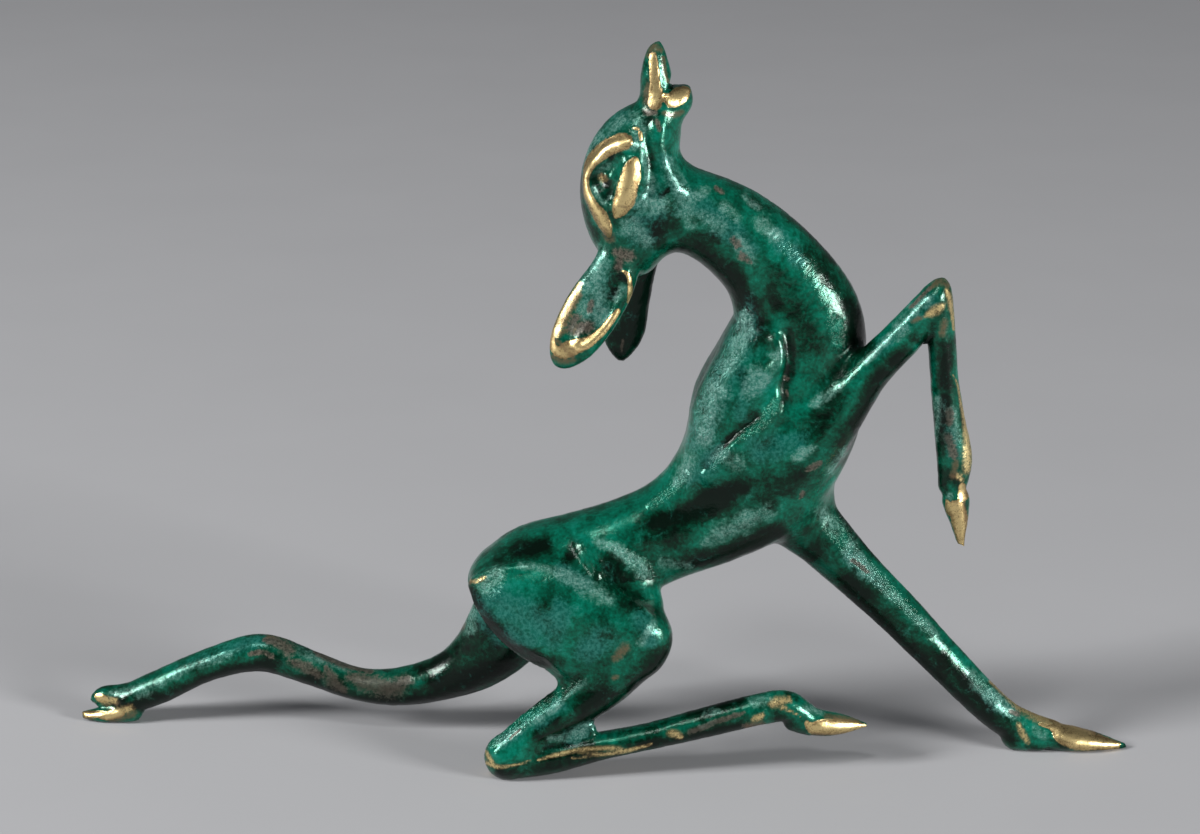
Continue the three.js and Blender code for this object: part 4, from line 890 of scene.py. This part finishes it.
def mark_levels(points, out, kind):
    """How far inside the marks of one kind each point lies, on the near side and mirrored."""
    levels = np.full(len(points), 1 - MARK_LIMIT)
    facing = np.clip(0.5 - FACING_BLEND * (out @ CAMERA_AHEAD), 0, 1)
    for low, high, middle, marks in REGIONS:
        if kind not in marks:
            continue
        inside = np.where(((points >= low) & (points <= high)).all(1))[0]
        near = points[inside]
        far = near.copy()
        far[:, 1] = 2 * middle - far[:, 1]
        share = facing[inside]
        level = share * line_levels(seen(near), marks[kind])
        level += (1 - share) * line_levels(seen(far), marks[kind])
        levels[inside] = np.maximum(levels[inside], level)
    return levels


def add_relief(mesh):
    """The casting skin, the lumps of the hock, the ripples of the neck and the bare plates."""
    points = positions(mesh)
    out = normals(mesh)
    skin = field_noise(points, *SKIN_NOISE)
    height = SKIN * skin
    lumps = np.maximum(field_noise(points, *LUMP_NOISE), LUMP_FLOOR)
    height += LUMP * nearness(points, HOCK_LUMPS, LUMP_REACH) * lumps
    ripple = nearness(points, NECK_RIPPLES, RIPPLE_REACH)
    waves = 2 * math.pi * (points @ np.array(RIPPLE_ALONG)) / RIPPLE_PITCH
    height += RIPPLE * ripple * np.sin(waves + RIPPLE_WANDER * skin)
    plates = smooth_step(mark_levels(points, out, "clean"), *PLATE_EDGE)
    height += PLATE * plates * (points[:, 2] > PLATES_ABOVE)
    points = points + out * height[:, None]
    low = np.array(cad_low) / MM + BOX_MARGIN
    high = np.array(cad_high) / MM - BOX_MARGIN
    low[2] = 0.0
    set_positions(mesh, np.clip(points, low, high))


def bend_of(mesh):
    """How much the surface bends at each vertex: above zero on edges, below in hollows."""
    points = positions(mesh)
    edges = np.empty(len(mesh.edges) * 2, np.int32)
    mesh.edges.foreach_get("vertices", edges)
    a, b = edges.reshape(-1, 2).T
    count = np.bincount(a, minlength=len(points)) + np.bincount(b, minlength=len(points))

    def spread(values):
        total = np.zeros_like(values)
        np.add.at(total, a, values[b])
        np.add.at(total, b, values[a])
        return total / (count[:, None] if values.ndim > 1 else count)

    middle = points
    for _ in range(BEND_ROUNDS):
        middle = spread(middle)
    bend = ((points - middle) * normals(mesh)).sum(1)
    for _ in range(BEND_SOFTENING):
        bend = spread(bend)
    return bend


def store(mesh, name, values):
    attribute = mesh.attributes.new(name, "FLOAT", "POINT")
    attribute.data.foreach_set("value", np.asarray(values, np.float32))


def mark_wear_and_painted_light(mesh):
    """Every kind of mark, and the bend of the surface, as values of the mesh."""
    points = positions(mesh)
    out = normals(mesh)
    for kind in KINDS:
        store(mesh, kind, mark_levels(points, out, kind))
    store(mesh, "bend", bend_of(mesh))


class Nodes:
    """A short way to write a material's nodes."""

    def __init__(self, name):
        self.material = bpy.data.materials.new(name)
        self.material.use_nodes = True
        self.tree = self.material.node_tree
        self.shader = self.tree.nodes["Principled BSDF"]

    def put(self, socket, value):
        if isinstance(value, bpy.types.NodeSocket):
            self.tree.links.new(value, socket)
        else:
            socket.default_value = value

    def shade(self, inputs):
        """Sets the shader's inputs and gives the material."""
        for name, value in inputs.items():
            self.put(self.shader.inputs[name], value)
        return self.material

    def add(self, kind, inputs=(), output=0, **settings):
        node = self.tree.nodes.new(kind)
        for key, value in settings.items():
            setattr(node, key, value)
        for key, value in dict(inputs).items():
            self.put(node.inputs[key], value)
        return node.outputs[output]

    def place(self):
        return self.add("ShaderNodeTexCoord", output="Object")

    def math(self, operation, a, b):
        return self.add("ShaderNodeMath", {0: a, 1: b}, operation=operation)

    def plus(self, a, b):
        return self.math("ADD", a, b)

    def minus(self, a, b):
        return self.math("SUBTRACT", a, b)

    def times(self, a, b):
        return self.math("MULTIPLY", a, b)

    def most(self, a, b):
        return self.math("MAXIMUM", a, b)

    def average(self, a, b, share):
        """The two together, the second by the given share."""
        return self.plus(self.times(a, 1 - share), self.times(b, share))

    def noise(self, place, scale, detail, roughness, distortion):
        inputs = {"Vector": place, "Scale": scale, "Detail": detail,
                  "Roughness": roughness, "Distortion": distortion}
        return self.add("ShaderNodeTexNoise", inputs)

    def step(self, value, low, high, to_low=0.0, to_high=1.0):
        inputs = {"Value": value, "From Min": low, "From Max": high,
                  "To Min": to_low, "To Max": to_high}
        return self.add("ShaderNodeMapRange", inputs, interpolation_type="SMOOTHSTEP")

    def attribute(self, name):
        return self.add("ShaderNodeAttribute", attribute_name=name, output="Fac")

    def level(self, name, edge):
        """A smooth step along one of the values that the mesh holds."""
        return self.step(self.attribute(name), *edge)

    def mix(self, factor, a, b):
        """One colour over another."""
        return self.add("ShaderNodeMix", {0: factor, 6: a, 7: b}, 2, data_type="RGBA")

    def shades(self, value, edge, colours):
        """The darker colour, and the lighter one where the value is high."""
        return self.mix(self.step(value, *edge), *colours)

    def blend(self, factor, a, b):
        """One number over another."""
        return self.add("ShaderNodeMix", {0: factor, 2: a, 3: b}, data_type="FLOAT")

    def ramp(self, value, stops):
        node = self.tree.nodes.new("ShaderNodeValToRGB")
        self.put(node.inputs[0], value)
        elements = node.color_ramp.elements
        while len(elements) < len(stops):
            elements.new(0.5)
        for element, (place, colour) in zip(elements, stops):
            element.position = place
            element.color = colour
        return node.outputs[0]


def add_noises(m):
    """Noises of four sizes, in millimetres, which the layers share."""
    place = m.add("ShaderNodeVectorMath", {0: m.place(), 1: (1 / MM,) * 3}, operation="MULTIPLY")
    m.clouds = m.noise(place, *CLOUDS)
    m.blots = m.noise(place, *BLOTS)
    m.grain = m.noise(place, *GRAIN)
    m.dust = m.noise(place, *DUST)
    m.fine = m.average(m.grain, m.dust, 0.5)


def ragged(m, kind, share, size):
    """The level of one kind of mark with a ragged edge."""
    noise_level = m.minus(m.average(m.blots, m.grain, share), 0.5)
    return m.plus(m.attribute(kind), m.times(noise_level, size))


def cloudy(m, kind, level, edge):
    """Where a layer lies in clouds of fine grain, and more so in its marks."""
    clouds = m.average(m.blots, m.fine, CLOUDY_GRAIN)
    return m.step(m.plus(m.level(kind, level), clouds), *edge)


def enamel(m):
    """Emerald enamel: near black in the painted shade of dark and deep marks, darker pooled in hollows."""
    painted_shade_and_hollows = m.plus(m.level("painted_shade", PAINTED_SHADE_OF_DARK_MARKS), m.level("deep", PAINTED_SHADE_OF_DEEP_MARKS))
    painted_shade_and_hollows = m.plus(painted_shade_and_hollows, m.level("bend", THICK_IN_HOLLOWS))
    mottle = m.average(m.clouds, m.blots, 0.5)
    return m.ramp(m.minus(m.average(mottle, m.grain, ENAMEL_GRAIN), painted_shade_and_hollows), ENAMEL)


def chip_colour(m):
    """Brown, with painted shade where the deep marks lie."""
    brown = m.shades(m.fine, CHIP_SHADES, CHIP_COLOURS)
    return m.mix(m.level("deep", CHIP_PAINTED_SHADE_LEVEL), brown, CHIP_PAINTED_SHADE_COLOUR)


def rubbed_brass(m):
    """Where the brass is rubbed bare, raggedly."""
    rubbed = m.step(ragged(m, "brass", *BRASS_RAGGED), *RUBBED_EDGE)
    return m.times(rubbed, m.step(m.fine, *RUBBED_GRAIN))


def brass_colour(m):
    """Golden metal, brightest in the middle of its marks, with darker specks."""
    level = m.most(m.attribute("clean"), m.times(m.attribute("brass"), RUBBED_SHINE))
    shine = m.plus(m.times(level, LEVEL_SHINE), m.average(m.grain, m.blots, BRASS_CLOUDS))
    specks = m.step(m.average(m.dust, m.fine, SPECK_GRAIN), *SPECKS)
    return m.shades(m.plus(shine, specks), BRASS_SHADES, BRASS_COLOURS)


def stains(m):
    """Where brown stains lie."""
    stained = m.step(ragged(m, "stain", *STAIN_RAGGED), *STAIN_EDGE)
    return m.times(stained, m.step(m.fine, *STAIN_GRAIN))


def bump(m, crinkled, bare):
    """The patina's fine relief, stronger in the crinkled skin and lower on bare metal."""
    height = m.plus(m.times(m.blots, BLOT_BUMP), m.times(m.grain, GRAIN_BUMP))
    height = m.plus(height, m.times(m.times(m.grain, crinkled), CRINKLE_BUMP))
    height = m.plus(height, m.times(m.dust, DUST_BUMP))
    height = m.minus(height, m.times(bare, BARE_DROP))
    return m.add("ShaderNodeBump", {"Strength": BUMP_STRENGTH, "Distance": MM, "Height": height})


def bronze_material():
    m = Nodes("patinated_bronze")
    add_noises(m)
    # The film layer is partly painted sheen, the pale layer partly painted highlight along lit ridges
    film_and_sheen = cloudy(m, "film_and_sheen", FILM_AND_SHEEN_LEVEL, FILM_AND_SHEEN_EDGE)
    pale_wear_and_highlight = cloudy(m, "pale_and_highlight", PALE_AND_HIGHLIGHT_LEVEL, PALE_AND_HIGHLIGHT_EDGE)
    chip = m.step(ragged(m, "chip", *CHIP_RAGGED), *CHIP_EDGE)
    brass = m.most(rubbed_brass(m), m.step(ragged(m, "clean", *CLEAN_RAGGED), *CLEAN_EDGE))
    stain = stains(m)
    colour = m.mix(m.times(film_and_sheen, FILM_AND_SHEEN_COVER), enamel(m), m.shades(m.grain, SHADES, FILM_AND_SHEEN_COLOURS))
    colour = m.mix(m.times(pale_wear_and_highlight, PALE_AND_HIGHLIGHT_COVER), colour, m.shades(m.fine, SHADES, PALE_AND_HIGHLIGHT_COLOURS))
    colour = m.mix(m.times(chip, CHIP_COVER), colour, chip_colour(m))
    colour = m.mix(brass, colour, brass_colour(m))
    colour = m.mix(m.times(stain, STAIN_COVER), colour, STAIN_COLOUR)

    crinkled = m.level("rough", CRINKLE_EDGE)
    bare = m.most(brass, chip)
    roughness = m.blend(bare, m.blend(pale_wear_and_highlight, ENAMEL_ROUGHNESS, WORN_ROUGHNESS), BARE_ROUGHNESS)
    roughness = m.blend(m.times(crinkled, CRINKLE_COVER), roughness, CRINKLE_ROUGHNESS)
    metallic = m.times(m.blend(brass, ENAMEL_METALLIC, 1.0), m.step(stain, 0.0, 1.0, 1.0, STAIN_METALLIC))
    return m.shade({"Base Color": colour, "Roughness": roughness, "Metallic": metallic,
                    "Normal": bump(m, crinkled, bare), "Specular IOR Level": SPECULAR})


def build_fawn():
    mesh = fine_mesh(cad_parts["fawn"])
    add_relief(mesh)
    mark_wear_and_painted_light(mesh)
    mesh.polygons.foreach_set("use_smooth", np.ones(len(mesh.polygons), bool))
    mesh.materials.clear()
    mesh.materials.append(bronze_material())
    fawn = add_object("fawn_bronze", mesh)
    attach(fawn, "root")
    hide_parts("fawn")


def floor_material():
    m = Nodes("pale_floor")
    tone = m.noise(m.place(), *FLOOR_NOISE)
    return m.shade({"Base Color": m.mix(tone, *FLOOR_COLOURS), "Roughness": FLOOR_ROUGHNESS})


def build_floor():
    half = FLOOR_SIZE / 2
    corners = [(-half, -half, 0), (half, -half, 0), (half, half, 0), (-half, half, 0)]
    mesh = bpy.data.meshes.new("floor")
    mesh.from_pydata(corners, [], [(0, 1, 2, 3)])
    mesh.materials.append(floor_material())
    add_object("floor", mesh)


def area_light(name, place, size, power):
    data = bpy.data.lights.new(name, "AREA")
    data.shape = "RECTANGLE"
    data.size, data.size_y = size
    data.energy = power
    light = add_object(name, data)
    light.location = place
    toward = Vector(LIGHT_TARGET) - Vector(place)
    light.rotation_euler = toward.to_track_quat("-Z", "Y").to_euler()


def build_lights():
    for light in LIGHTS:
        area_light(*light)
    world = bpy.data.worlds.new("studio")
    world.use_nodes = True
    background = world.node_tree.nodes["Background"]
    background.inputs["Color"].default_value = SKY_COLOUR
    background.inputs["Strength"].default_value = SKY_STRENGTH
    bpy.context.scene.world = world
    bpy.context.scene.view_settings.view_transform = "Standard"


def build_camera():
    data = bpy.data.cameras.new("camera")
    data.lens = LENS
    data.sensor_width = SENSOR
    data.clip_start, data.clip_end = CLIP
    camera = add_object("camera", data)
    camera.location = CAMERA_PLACE
    camera.rotation_euler = (math.radians(90) - CAMERA_PITCH, 0, 0)
    bpy.context.scene.camera = camera


build_camera()
build_fawn()
build_floor()
build_lights()
